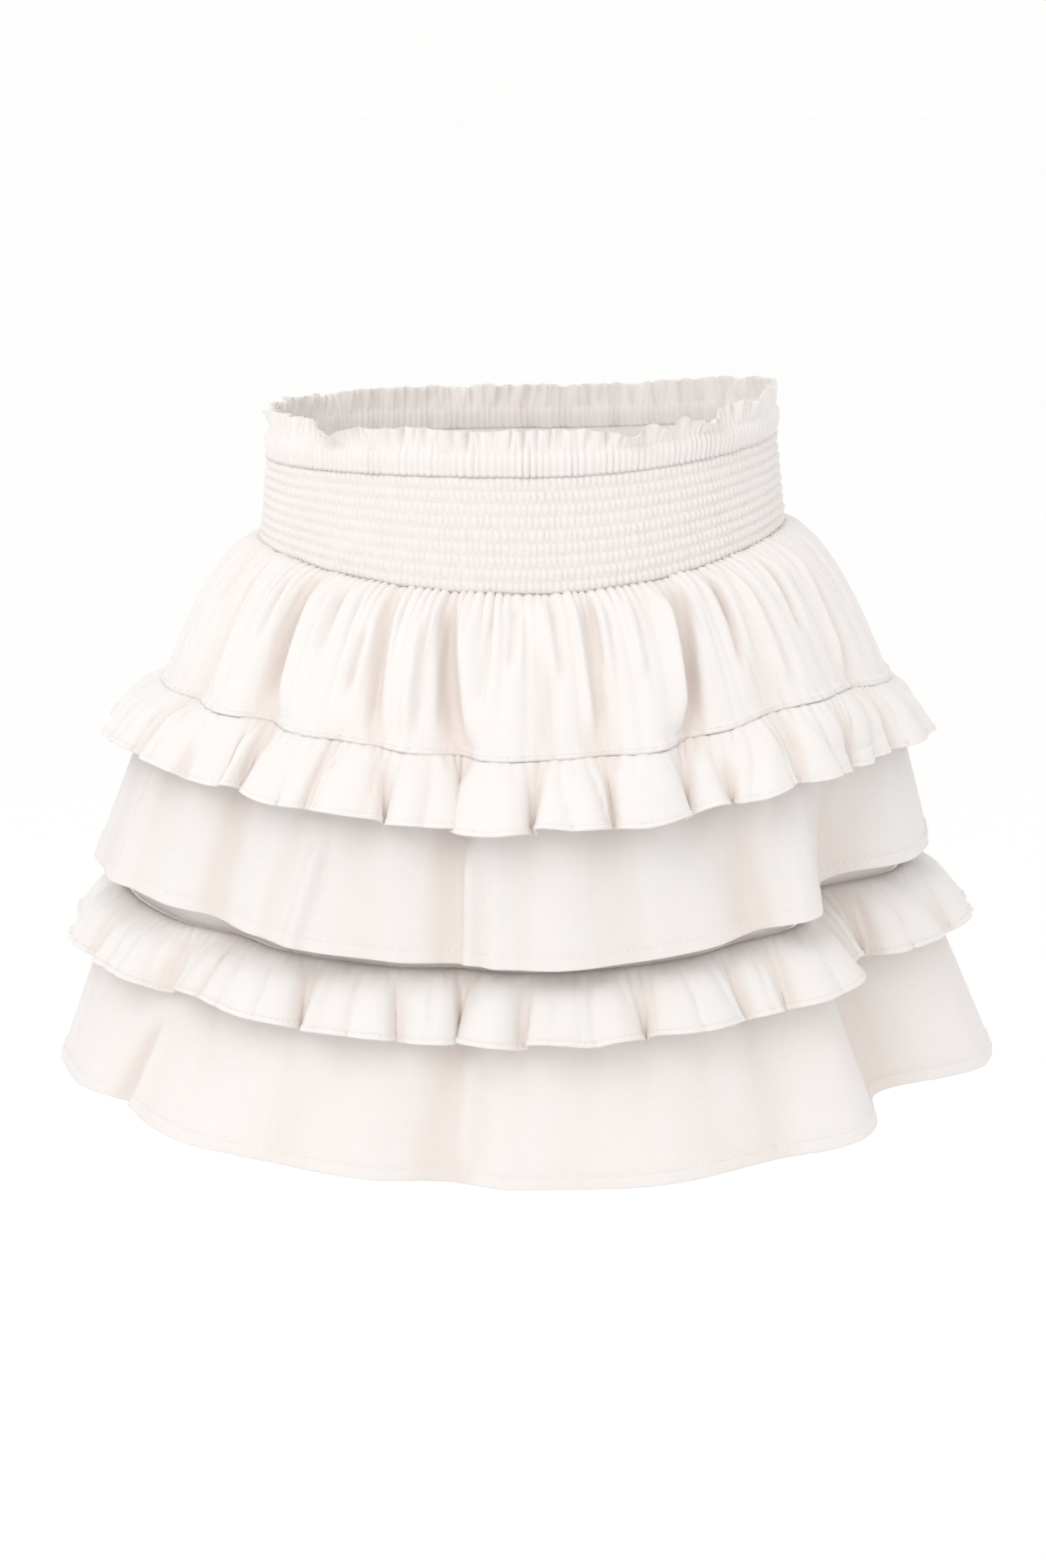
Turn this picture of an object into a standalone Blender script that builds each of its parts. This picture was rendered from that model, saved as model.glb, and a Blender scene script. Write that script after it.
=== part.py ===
"""Tiered ruffle skirt, worn shape with no wearer.

Metres, +Z up, +Y towards the back, +X towards the right of someone facing the front.
The origin is the centre of the waist ring, at the middle of the elastic casing.

Every piece of cloth is a wall between two rings. A ring is a level of the garment: its height, its half
widths and its half depths. A fold is a soft bump or trough that is laid over a piece, outwards from the
ring's own curve. A place round the skirt is a turn in degrees: 0 is centre front, 90 is the side seam at
+X, 180 is centre back and -90 or 270 is the side seam at -X.
"""

import math
from typing import NamedTuple

import bmesh
import bpy
from mathutils import Vector

# Cloth and seams
WALL = 0.0014               # single cloth, thickened to the thinnest wall that collides well
BAND_WALL = 0.0020          # shirred cloth with its elastic
SEAM_GAP = 0.0003           # between pieces that are sewn together
SIDE_SEAM_GAP = 0.0003      # between front and back at the side seams

# Columns are shared by pieces that meet at a seam, so that their edges match
COLUMNS = 48                # of a yoke or tier, on each side
RUFFLE_SPLIT = 2            # ruffle columns to each shared column
BAND_COLUMNS = 24

FRONT_SPAN = (-90.0, 90.0)
BACK_SPAN = (90.0, 270.0)


class Ring(NamedTuple):
    """A level of the skirt. Heights are from the waist, half sizes from its centre line.

    `flat` is the power of the cosine that the height follows from front or back to side: 2 is an even
    curve, and a larger one runs level across the front and then rises. `lift` raises the ring at the
    right front quarter.
    """
    front_height: float
    back_height: float
    left_height: float
    right_height: float
    left_half: float
    right_half: float
    front_half: float
    back_half: float
    flat: float
    lift: float


#                  heights: front   back    left    right  halves: left   right   front   back    flat  lift
RIM = Ring(                0.0170,  0.0175,  0.0180,  0.0300,      0.1245, 0.1240, 0.0975, 0.0980, 2.0, 0.000)
CASING_TOP = Ring(         0.0060,  0.0055,  0.0065,  0.0185,      0.1250, 0.1240, 0.0975, 0.0970, 2.0, 0.000)
CASING_BOTTOM = Ring(     -0.0055, -0.0055, -0.0070,  0.0055,      0.1260, 0.1240, 0.0980, 0.0970, 2.0, 0.000)
BAND_BOTTOM = Ring(       -0.0600, -0.0560, -0.0470, -0.0390,      0.1305, 0.1290, 0.1070, 0.1060, 2.0, 0.000)
SEAM_1 = Ring(            -0.1320, -0.1290, -0.1180, -0.1170,      0.1790, 0.1825, 0.1450, 0.1460, 4.0, 0.007)
MIDDLE_HEM = Ring(        -0.2270, -0.2220, -0.2060, -0.1985,      0.2150, 0.2040, 0.1680, 0.1700, 2.4, 0.001)
SEAM_2 = Ring(            -0.2320, -0.2270, -0.2200, -0.2060,      0.2010, 0.1920, 0.1540, 0.1560, 2.0, 0.000)
BOTTOM_HEM = Ring(        -0.3300, -0.3250, -0.3110, -0.3090,      0.2345, 0.2385, 0.1800, 0.1820, 2.4, 0.000)
LIFT_TURN = 48.0            # the raised quarter's centre, and how far it reaches towards front and side
LIFT_LEFT = 30.0
LIFT_RIGHT = 42.0


class Fold(NamedTuple):
    """A soft trough (out below zero) or ridge (out above zero) that runs down a piece.

    It is centred on `top` at the piece's upper edge and on `bottom` at its lower edge, and dies away over
    `left` degrees on one side and `right` degrees on the other.
    """
    top: float
    bottom: float
    left: float
    right: float
    out_top: float
    out_bottom: float


#                 top   bottom  left  right  out_top  out_bottom
YOKE_FOLDS = (
    Fold(       -66.0,  -64.0,  9.0,   8.0,  -0.0010, -0.0040),
    Fold(       -54.0,  -53.0,  7.0,   7.0,   0.0015,  0.0040),
    Fold(       -44.5,  -43.0,  8.0,   5.5,  -0.0020, -0.0065),
    Fold(       -36.0,  -35.0,  6.0,   6.0,   0.0010,  0.0035),
    Fold(       -28.5,  -28.5,  5.0,   5.0,  -0.0010, -0.0025),
    Fold(       -25.0,  -22.5,  5.5,   5.0,  -0.0020, -0.0040),
    Fold(       -13.0,   -9.5,  7.0,   4.5,  -0.0020, -0.0080),
    Fold(        -4.5,   -3.0,  5.0,   6.0,   0.0010,  0.0040),
    Fold(         4.5,    6.0,  4.0,   4.5,  -0.0010, -0.0010),
    Fold(        10.5,   11.5,  5.0,   5.0,  -0.0015, -0.0035),
    Fold(        20.0,   18.5,  5.0,   5.0,   0.0010,  0.0040),
    Fold(        28.5,   25.5,  5.0,   7.0,  -0.0020, -0.0080),
    Fold(        40.0,   39.0,  6.0,   6.0,  -0.0010, -0.0025),
    Fold(        50.0,   49.0,  7.0,   7.0,   0.0010,  0.0035),
    Fold(        64.0,   62.0,  9.0,   9.0,  -0.0010, -0.0045),
    Fold(       104.0,  106.0,  8.0,   9.0,  -0.0015, -0.0050),
    Fold(       121.0,  122.0,  7.0,   6.0,   0.0010,  0.0035),
    Fold(       132.0,  134.0,  7.0,   7.0,  -0.0020, -0.0065),
    Fold(       150.0,  149.0,  6.0,   6.0,  -0.0010, -0.0030),
    Fold(       162.0,  161.0,  6.0,   7.0,   0.0010,  0.0040),
    Fold(       173.0,  172.0,  6.0,   6.0,  -0.0020, -0.0070),
    Fold(       188.0,  190.0,  6.0,   6.0,  -0.0010, -0.0030),
    Fold(       203.0,  202.0,  7.0,   6.0,  -0.0015, -0.0060),
    Fold(       217.0,  216.0,  6.0,   6.0,   0.0010,  0.0040),
    Fold(       230.0,  231.0,  7.0,   7.0,  -0.0020, -0.0055),
    Fold(       250.0,  248.0,  9.0,   8.0,  -0.0010, -0.0045),
)

MIDDLE_FOLDS = (
    Fold(       -68.0,  -67.0,  9.0,   6.0,   0.0000,  0.0040),
    Fold(       -46.0,  -44.0, 11.0,   8.0,  -0.0010, -0.0080),
    Fold(       -27.0,  -29.0,  7.0,  11.0,   0.0010,  0.0050),
    Fold(        -9.0,   -8.0,  9.0,   5.0,  -0.0020, -0.0090),
    Fold(         4.0,    5.0,  7.0,   9.0,   0.0010,  0.0040),
    Fold(        29.0,   34.0,  9.0,   6.5,  -0.0020, -0.0060),
    Fold(        41.0,   41.0,  8.0,   6.0,   0.0020,  0.0050),
    Fold(        53.5,   54.5, 12.5,  18.0,   0.0000, -0.0280),
    Fold(       104.0,  108.0, 12.0,  14.0,   0.0000, -0.0150),
    Fold(       126.0,  128.0,  9.0,   9.0,   0.0010,  0.0060),
    Fold(       143.0,  146.0, 12.0,   9.0,  -0.0010, -0.0110),
    Fold(       164.0,  165.0,  9.0,   8.0,   0.0010,  0.0050),
    Fold(       178.0,  179.0,  8.0,  10.0,  -0.0010, -0.0100),
    Fold(       205.0,  207.0, 10.0,  10.0,  -0.0010, -0.0080),
    Fold(       222.0,  223.0,  8.0,   9.0,   0.0010,  0.0050),
    Fold(       240.0,  241.0, 12.0,  12.0,  -0.0010, -0.0170),
)

UNDERLAYER_FOLDS = (
    Fold(       -44.0,  -44.0, 12.0,  10.0,   0.0000, -0.0070),
    Fold(        -9.0,   -8.0, 10.0,   7.0,   0.0000, -0.0060),
    Fold(        33.0,   33.0,  9.0,   8.0,   0.0000, -0.0040),
    Fold(        53.5,   55.5, 14.0,  20.0,   0.0000, -0.0290),
    Fold(       104.0,  109.0, 14.0,  15.0,   0.0000, -0.0170),
    Fold(       143.0,  147.0, 12.0,  10.0,   0.0000, -0.0100),
    Fold(       178.0,  179.0, 10.0,  10.0,   0.0000, -0.0090),
    Fold(       205.0,  207.0, 10.0,  10.0,   0.0000, -0.0070),
    Fold(       240.0,  241.0, 13.0,  13.0,   0.0000, -0.0180),
)

BOTTOM_FOLDS = (
    Fold(       -44.0,  -59.0, 11.0,   9.0,  -0.0070, -0.0080),
    Fold(       -30.0,  -43.0, 10.0,  12.0,   0.0000,  0.0060),
    Fold(        -8.0,   -9.0, 10.0,   8.0,  -0.0060, -0.0100),
    Fold(        14.0,   15.0, 12.0,  12.0,   0.0000,  0.0050),
    Fold(        33.0,   30.0,  9.0,   9.0,  -0.0040, -0.0030),
    Fold(        41.0,   40.0, 10.0,   6.0,   0.0000,  0.0040),
    Fold(        55.5,   57.0, 14.0,  22.0,  -0.0290, -0.0340),
    Fold(       109.0,  111.0, 14.0,  15.0,  -0.0170, -0.0230),
    Fold(       128.0,  130.0, 10.0,  10.0,   0.0000,  0.0060),
    Fold(       147.0,  149.0, 12.0,  10.0,  -0.0100, -0.0160),
    Fold(       179.0,  180.0, 10.0,  10.0,  -0.0090, -0.0140),
    Fold(       194.0,  194.0,  9.0,   9.0,   0.0000,  0.0060),
    Fold(       207.0,  209.0, 10.0,  10.0,  -0.0070, -0.0110),
    Fold(       241.0,  242.0, 13.0,  14.0,  -0.0180, -0.0240),
)


class Pinch(NamedTuple):
    """A place where a ruffle folds back in between two of its lobes."""
    turn: float
    left: float
    right: float
    back: float             # 1 folds right back to the tier beneath, 0 not at all


#                      turn   left  right  back
UPPER_PINCHES = (
    Pinch(            -66.0,  5.0,  5.0,  0.60),
    Pinch(            -53.5,  4.0,  5.0,  0.70),
    Pinch(            -40.5,  5.0,  4.0,  1.00),
    Pinch(            -29.5,  4.0,  4.0,  0.55),
    Pinch(            -19.0,  5.0,  3.5,  1.00),
    Pinch(             -9.0,  4.5,  4.5,  1.00),
    Pinch(              2.0,  4.0,  4.0,  0.90),
    Pinch(             12.0,  4.0,  3.5,  0.50),
    Pinch(             22.5,  5.0,  5.0,  1.00),
    Pinch(             31.0,  4.0,  4.0,  0.65),
    Pinch(             40.5,  4.0,  4.5,  0.80),
    Pinch(             52.5,  5.0,  5.0,  0.80),
    Pinch(             66.0,  5.0,  5.0,  0.70),
    Pinch(             76.0,  5.0,  5.0,  0.50),
    Pinch(             90.0, 13.0, 12.0,  0.90),
    Pinch(            103.0,  5.0,  5.0,  0.60),
    Pinch(            114.0,  5.0,  5.0,  0.65),
    Pinch(            126.0,  4.5,  5.0,  1.00),
    Pinch(            138.0,  4.5,  4.0,  0.60),
    Pinch(            148.0,  4.5,  4.0,  0.90),
    Pinch(            160.0,  4.5,  4.0,  0.60),
    Pinch(            170.0,  4.5,  4.5,  1.00),
    Pinch(            182.0,  4.5,  4.5,  0.70),
    Pinch(            192.0,  4.0,  4.5,  0.90),
    Pinch(            204.0,  4.5,  4.5,  0.65),
    Pinch(            216.0,  4.5,  4.5,  1.00),
    Pinch(            229.0,  5.0,  5.0,  0.70),
    Pinch(            241.0,  5.0,  4.5,  0.90),
    Pinch(            255.0,  5.0,  5.0,  0.65),
    Pinch(            270.0,  9.0,  9.0,  0.60),
)

LOWER_PINCHES = (
    Pinch(            -70.0,  6.0,  5.0,  0.60),
    Pinch(            -52.0,  7.0,  8.0,  1.00),
    Pinch(            -28.5,  4.0,  4.0,  1.00),
    Pinch(            -16.0,  4.5,  5.0,  0.80),
    Pinch(             -7.5,  4.5,  4.5,  1.00),
    Pinch(              0.5,  4.0,  4.0,  0.90),
    Pinch(             15.5,  4.0,  4.5,  0.85),
    Pinch(             28.5,  5.0,  5.0,  0.75),
    Pinch(             36.0,  4.0,  4.0,  0.60),
    Pinch(             49.5,  4.0,  6.0,  0.90),
    Pinch(             61.0,  5.0,  5.0,  0.75),
    Pinch(             74.0,  5.0,  5.0,  0.80),
    Pinch(             87.0,  5.0,  5.0,  0.40),
    Pinch(             98.0,  5.0,  5.0,  0.60),
    Pinch(            110.0,  5.0,  5.0,  0.90),
    Pinch(            122.0,  4.5,  5.0,  0.65),
    Pinch(            134.0,  5.0,  4.5,  0.90),
    Pinch(            146.0,  4.5,  5.0,  1.00),
    Pinch(            158.0,  5.0,  5.0,  0.60),
    Pinch(            168.0,  4.5,  4.5,  0.90),
    Pinch(            179.0,  4.5,  4.5,  1.00),
    Pinch(            191.0,  4.5,  4.5,  0.65),
    Pinch(            202.0,  4.5,  4.5,  0.90),
    Pinch(            213.0,  4.5,  5.0,  1.00),
    Pinch(            226.0,  5.0,  5.0,  0.65),
    Pinch(            238.0,  5.0,  5.0,  1.00),
    Pinch(            252.0,  5.0,  5.0,  0.75),
    Pinch(            270.0,  9.0,  9.0,  0.65),
)

UPPER_RUFFLE_SHARE = 0.355   # of the middle tier's height that the upper ruffle covers
LOWER_RUFFLE_SHARE = 0.345   # of the bottom tier's height that the lower ruffle covers
RUFFLE_REST = 0.0030         # a ruffle's hem clears the tier beneath by this where it folds back
RUFFLE_FLARE = 0.0125        # and by this much more at the crown of a lobe

MIDDLE_FOLDS_START = 0.25    # the middle tier's own folds come in over this share of its height

PUFF = 0.56                  # the yoke swells out at once below the band: its widths follow drop ** PUFF
HANG = 0.92                  # tiers hang almost straight


def mix(first, second, share):
    return first + (second - first) * share


def ring_point(ring, turn):
    """The point of a ring at a turn: an ellipse whose height runs smoothly from front to side to back."""
    across = math.sin(math.radians(turn))
    ahead = math.cos(math.radians(turn))
    half = ring.right_half if across > 0 else ring.left_half
    depth = ring.front_half if ahead > 0 else ring.back_half
    side_height = ring.right_height if across > 0 else ring.left_height
    end_height = ring.front_height if ahead > 0 else ring.back_height
    height = mix(side_height, end_height, abs(ahead) ** ring.flat)
    height += ring.lift * soft_bump(turn_between(turn, LIFT_TURN), LIFT_LEFT, LIFT_RIGHT)
    return Vector((half * across, -depth * ahead, height))


def level_point(upper, lower, swell, turn, drop):
    """A point a share `drop` of the way down between two rings, its widths following drop ** swell."""
    high = ring_point(upper, turn)
    low = ring_point(lower, turn)
    point = high.lerp(low, drop ** swell)
    point.z = mix(high.z, low.z, drop)
    return point


def level_outward(upper, lower, swell, turn, drop):
    """The level direction straight out of that curve."""
    step = 0.5
    after = level_point(upper, lower, swell, turn + step, drop)
    along = after - level_point(upper, lower, swell, turn - step, drop)
    return Vector((along.y, -along.x, 0.0)).normalized()


def turn_between(turn, centre):
    """How far a turn lies past a centre, from -180 to 180 degrees."""
    return (turn - centre + 180.0) % 360.0 - 180.0


def soft_bump(away, left, right):
    """1 at the centre, falling to 0 at `left` degrees before it and `right` degrees after it."""
    reach = left if away < 0 else right
    if abs(away) >= reach:
        return 0.0
    return 0.5 + 0.5 * math.cos(math.pi * away / reach)


def folds_out(folds, turn, drop):
    """How far the folds move a piece outwards at a turn, a share `drop` of the way down it."""
    total = 0.0
    for fold in folds:
        away = turn_between(turn, mix(fold.top, fold.bottom, drop))
        total += mix(fold.out_top, fold.out_bottom, drop) * soft_bump(away, fold.left, fold.right)
    return total


def lobe_height(pinches, turn):
    """1 on the crown of a ruffle's lobe, down to 0 where it folds right back."""
    height = 1.0
    for pinch in pinches:
        height -= pinch.back * soft_bump(turn_between(turn, pinch.turn), pinch.left, pinch.right)
    return max(height, 0.0)


def panel_point(upper, lower, swell, out, turn, drop):
    """A point of a panel: between its two rings, moved out by its folds."""
    straight = level_point(upper, lower, swell, turn, drop)
    return straight + level_outward(upper, lower, swell, turn, drop) * out(turn, drop)


def band_point(turn, drop):
    return level_point(CASING_BOTTOM, BAND_BOTTOM, 1.0, turn, drop)


def yoke_point(turn, drop):
    def out(place, share):
        return folds_out(YOKE_FOLDS, place, share)
    return panel_point(BAND_BOTTOM, SEAM_1, PUFF, out, turn, drop)


def seam_1_out(turn, drop):
    """What is left, lower down, of the folds that the yoke has at seam 1."""
    return folds_out(YOKE_FOLDS, turn, 1.0) * (1.0 - drop) ** 2


def middle_point(turn, drop):
    def out(place, share):
        own = folds_out(MIDDLE_FOLDS, place, share) * min(1.0, share / MIDDLE_FOLDS_START)
        return seam_1_out(place, share) + own
    return panel_point(SEAM_1, MIDDLE_HEM, HANG, out, turn, drop)


def underlayer_point(turn, drop):
    def out(place, share):
        return seam_1_out(place, share) + folds_out(UNDERLAYER_FOLDS, place, share)
    return panel_point(SEAM_1, SEAM_2, 1.0, out, turn, drop)


def bottom_point(turn, drop):
    def out(place, share):
        above = folds_out(UNDERLAYER_FOLDS, place, 1.0)
        return mix(above, folds_out(BOTTOM_FOLDS, place, share), share)
    return panel_point(SEAM_2, BOTTOM_HEM, HANG, out, turn, drop)


def panel_turns(span, columns):
    """Even turns from one side seam to the other."""
    first, last = span
    return [mix(first, last, i / columns) for i in range(columns + 1)]


def draw_back_sides(grid):
    """Move the end columns half a seam gap back from the side seams."""
    middle = grid[0][len(grid[0]) // 2]
    back = math.copysign(0.5 * SIDE_SEAM_GAP, middle.y)
    for row in grid:
        row[0].y += back
        row[-1].y += back


def grid_normals(grid, level_rows):
    """Outward directions at the points of a grid.

    On the rows named they stay level, and at the side seams they stay square to the seam, so that the
    edges of pieces that are sewn together face each other.
    """
    last_row = len(grid) - 1
    last_column = len(grid[0]) - 1
    normals = []
    for r, row in enumerate(grid):
        line = []
        for c in range(len(row)):
            along = grid[r][min(c + 1, last_column)] - grid[r][max(c - 1, 0)]
            down = grid[min(r + 1, last_row)][c] - grid[max(r - 1, 0)][c]
            normal = down.cross(along)
            if r in level_rows:
                normal.z = 0.0
            if c in (0, last_column):
                normal.y = 0.0
            line.append(normal.normalized())
        normals.append(line)
    return normals


def moved_out(grid, normals, distances):
    """A copy of a grid, each row moved along its normals by its own distance."""
    return [[point + normal * distance for point, normal in zip(row, line)]
            for row, line, distance in zip(grid, normals, distances)]


def wall_object(name, outer, inner, colour):
    """One closed body between an outer and an inner grid of the same size."""
    mesh = bpy.data.meshes.new(name)
    body = bmesh.new()
    rows = len(outer)
    columns = len(outer[0])
    shells = []
    for grid in (outer, inner):
        shells.append([[body.verts.new(point) for point in row] for row in grid])
    skin, lining = shells
    for r in range(rows - 1):
        for c in range(columns - 1):
            body.faces.new((skin[r][c], skin[r + 1][c], skin[r + 1][c + 1], skin[r][c + 1]))
            body.faces.new((lining[r][c], lining[r][c + 1], lining[r + 1][c + 1], lining[r + 1][c]))
    for c in range(columns - 1):
        body.faces.new((skin[0][c], skin[0][c + 1], lining[0][c + 1], lining[0][c]))
        body.faces.new((skin[-1][c + 1], skin[-1][c], lining[-1][c], lining[-1][c + 1]))
    for r in range(rows - 1):
        body.faces.new((skin[r + 1][0], skin[r][0], lining[r][0], lining[r + 1][0]))
        body.faces.new((skin[r][-1], skin[r + 1][-1], lining[r + 1][-1], lining[r][-1]))
    bmesh.ops.triangulate(body, faces=body.faces[:], quad_method="SHORT_EDGE")
    bmesh.ops.recalc_face_normals(body, faces=body.faces[:])
    body.to_mesh(mesh)
    body.free()
    mesh.materials.append(cloth_material(name, colour))
    mesh.shade_smooth()
    mesh.set_sharp_from_angle(angle=math.radians(50.0))
    piece = bpy.data.objects.new(name, mesh)
    bpy.context.collection.objects.link(piece)
    return piece


def cloth_material(name, colour):
    material = bpy.data.materials.new(name + "_cloth")
    material.use_nodes = True
    shader = material.node_tree.nodes["Principled BSDF"]
    shader.inputs["Base Color"].default_value = (*colour, 1.0)
    shader.inputs["Roughness"].default_value = 0.92
    shader.inputs["Metallic"].default_value = 0.0
    return material


def panel_grid(point, turns, drops, top_gap, bottom_gap):
    """Rows of points down a panel, its seamed edges drawn back by half a seam gap."""
    grid = [[point(turn, drop) for turn in turns] for drop in drops]
    for edge_point in grid[0]:
        edge_point.z -= 0.5 * top_gap
    for edge_point in grid[-1]:
        edge_point.z += 0.5 * bottom_gap
    draw_back_sides(grid)
    return grid


def build_panel(name, span, point, drops, wall, colour, columns=COLUMNS, bottom_seam=True, inside=0.0):
    """A tier, yoke or band: one wall on its surface, or `inside` it by a distance."""
    bottom_gap = SEAM_GAP if bottom_seam else 0.0
    grid = panel_grid(point, panel_turns(span, columns), drops, SEAM_GAP, bottom_gap)
    last = len(drops) - 1
    level_rows = (0, last) if bottom_seam else (0,)
    normals = grid_normals(grid, level_rows)
    outer = moved_out(grid, normals, [0.5 * wall - inside] * len(drops))
    inner = moved_out(grid, normals, [-0.5 * wall - inside] * len(drops))
    return wall_object(name, outer, inner, colour)


def build_ruffle(name, span, point, pinches, share, colour):
    """A gathered strip whose points are those of the tier beneath, moved out.

    Its inner face lies on the tier at the seam and stands clear of it at the hem.
    """
    turns = panel_turns(span, COLUMNS)
    tier = panel_grid(point, turns, (0.0, share), SEAM_GAP, 0.0)
    ways = grid_normals(tier, (0,))
    inner = [[], []]
    for place in range(COLUMNS * RUFFLE_SPLIT + 1):
        column = min(place // RUFFLE_SPLIT, COLUMNS - 1)
        part = place / RUFFLE_SPLIT - column
        crown = lobe_height(pinches, mix(turns[column], turns[column + 1], part))
        clearances = (0.5 * WALL + SEAM_GAP, 0.5 * WALL + RUFFLE_REST + RUFFLE_FLARE * crown)
        for row, base, way, clearance in zip(inner, tier, ways, clearances):
            on_tier = base[column].lerp(base[column + 1], part)
            way_out = way[column].lerp(way[column + 1], part).normalized()
            row.append(on_tier + way_out * clearance)
    outer = moved_out(inner, grid_normals(inner, (0,)), (WALL, WALL))
    return wall_object(name, outer, inner, colour)


class CasingRow(NamedTuple):
    """A level of the casing: where it lies between two rings, and how far each face stands off the middle."""
    upper: Ring
    lower: Ring
    drop: float
    outer: float
    inner: float


CASING_ROWS = (
    CasingRow(RIM, CASING_TOP, 0.00, 0.0012, 0.0008),
    CasingRow(RIM, CASING_TOP, 0.90, 0.0010, 0.0008),
    CasingRow(CASING_TOP, CASING_BOTTOM, 0.45, 0.0032, 0.0016),
    CasingRow(CASING_TOP, CASING_BOTTOM, 1.00, 0.0024, 0.0010),
)


def build_casing(name, span, colour):
    """The folded waist strip: a thin heading above, the fuller elastic tunnel below."""
    turns = panel_turns(span, BAND_COLUMNS)
    grid = []
    for level in CASING_ROWS:
        grid.append([level_point(level.upper, level.lower, 1.0, turn, level.drop) for turn in turns])
    for edge_point in grid[-1]:
        edge_point.z += 0.5 * SEAM_GAP
    draw_back_sides(grid)
    normals = grid_normals(grid, range(len(grid)))
    outer = moved_out(grid, normals, [level.outer for level in CASING_ROWS])
    inner = moved_out(grid, normals, [-level.inner for level in CASING_ROWS])
    return wall_object(name, outer, inner, colour)


BAND_DROPS = (0.0, 0.5, 1.0)
YOKE_DROPS = (0.0, 0.10, 0.42, 1.0)
MIDDLE_DROPS = (0.0, UPPER_RUFFLE_SHARE, 1.0)
UNDERLAYER_DROPS = (0.0, 1.0)
BOTTOM_DROPS = (0.0, LOWER_RUFFLE_SHARE, 1.0)

WHITE = (0.83, 0.80, 0.77)
WARM_WHITE = (0.78, 0.74, 0.71)


def build_side(side, span):
    build_casing(side + "_casing", span, WHITE)
    build_panel(side + "_band", span, band_point, BAND_DROPS, BAND_WALL, WARM_WHITE, columns=BAND_COLUMNS)
    build_panel(side + "_yoke", span, yoke_point, YOKE_DROPS, WALL, WHITE)
    build_ruffle(side + "_upper_ruffle", span, middle_point, UPPER_PINCHES, UPPER_RUFFLE_SHARE, WHITE)
    build_panel(side + "_middle_tier", span, middle_point, MIDDLE_DROPS, WALL, WHITE, bottom_seam=False)
    build_panel(side + "_underlayer", span, underlayer_point, UNDERLAYER_DROPS, WALL, WARM_WHITE,
                inside=WALL + SEAM_GAP)
    build_ruffle(side + "_lower_ruffle", span, bottom_point, LOWER_PINCHES, LOWER_RUFFLE_SHARE, WHITE)
    build_panel(side + "_bottom_tier", span, bottom_point, BOTTOM_DROPS, WALL, WHITE, bottom_seam=False)


def main():
    for old in list(bpy.data.objects):
        bpy.data.objects.remove(old)
    build_side("front", FRONT_SPAN)
    build_side("back", BACK_SPAN)


main()
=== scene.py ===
"""Looks of the tiered ruffle skirt: every cloth piece, its stitching, the studio and the camera.

Metres, +Z up, +Y towards the back. The origin is the centre of the waist ring. A place round the skirt
is a turn in degrees: 0 is centre front, 90 the side seam at +X, 180 centre back, -90 or 270 the side seam
at -X. A drop is a share of the way down a piece, from its upper edge (0) to its lower edge (1).
"""

import math
from typing import Callable, NamedTuple

import bpy
import numpy as np
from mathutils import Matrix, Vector


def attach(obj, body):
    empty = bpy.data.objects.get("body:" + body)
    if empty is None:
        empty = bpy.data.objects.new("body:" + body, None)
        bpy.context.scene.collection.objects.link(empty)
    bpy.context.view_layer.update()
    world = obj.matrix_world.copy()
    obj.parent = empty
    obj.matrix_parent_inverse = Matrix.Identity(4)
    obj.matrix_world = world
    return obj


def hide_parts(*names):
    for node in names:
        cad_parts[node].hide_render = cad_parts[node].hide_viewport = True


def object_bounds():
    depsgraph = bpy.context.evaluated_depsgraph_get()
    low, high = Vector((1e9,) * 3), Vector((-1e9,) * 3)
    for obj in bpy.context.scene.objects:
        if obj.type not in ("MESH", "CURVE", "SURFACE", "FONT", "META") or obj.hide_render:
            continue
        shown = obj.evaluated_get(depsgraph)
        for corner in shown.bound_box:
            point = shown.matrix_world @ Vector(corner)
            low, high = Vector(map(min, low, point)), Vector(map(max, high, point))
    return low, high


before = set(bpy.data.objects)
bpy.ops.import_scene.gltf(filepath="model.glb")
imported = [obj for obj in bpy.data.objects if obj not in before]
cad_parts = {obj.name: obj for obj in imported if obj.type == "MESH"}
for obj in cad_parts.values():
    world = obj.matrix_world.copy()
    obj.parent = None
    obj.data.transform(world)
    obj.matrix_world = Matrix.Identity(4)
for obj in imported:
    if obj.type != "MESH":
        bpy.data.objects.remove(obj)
CAD_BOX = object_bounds()

bl_info = {
    "name": "Tiered ruffle skirt",
    "version": (1, 0, 0),
    "blender": (4, 5, 0),
    "location": "3D View > Sidebar > Skirt",
    "description": "Builds a tiered ruffle skirt in crinkled white cotton voile",
    "category": "Object",
}

MM = 0.001
BODY = "root"


# ---------------------------------------------------------------------------------------------------
# The cut: rings, folds and pinches, shared with the solids


class Ring(NamedTuple):
    """A level of the skirt: heights from the waist, half sizes from its centre line.

    `flat` is the power of the cosine that the height follows from front or back to side, and `lift`
    raises the right front quarter.
    """
    front_height: float
    back_height: float
    left_height: float
    right_height: float
    left_half: float
    right_half: float
    front_half: float
    back_half: float
    flat: float
    lift: float


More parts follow.
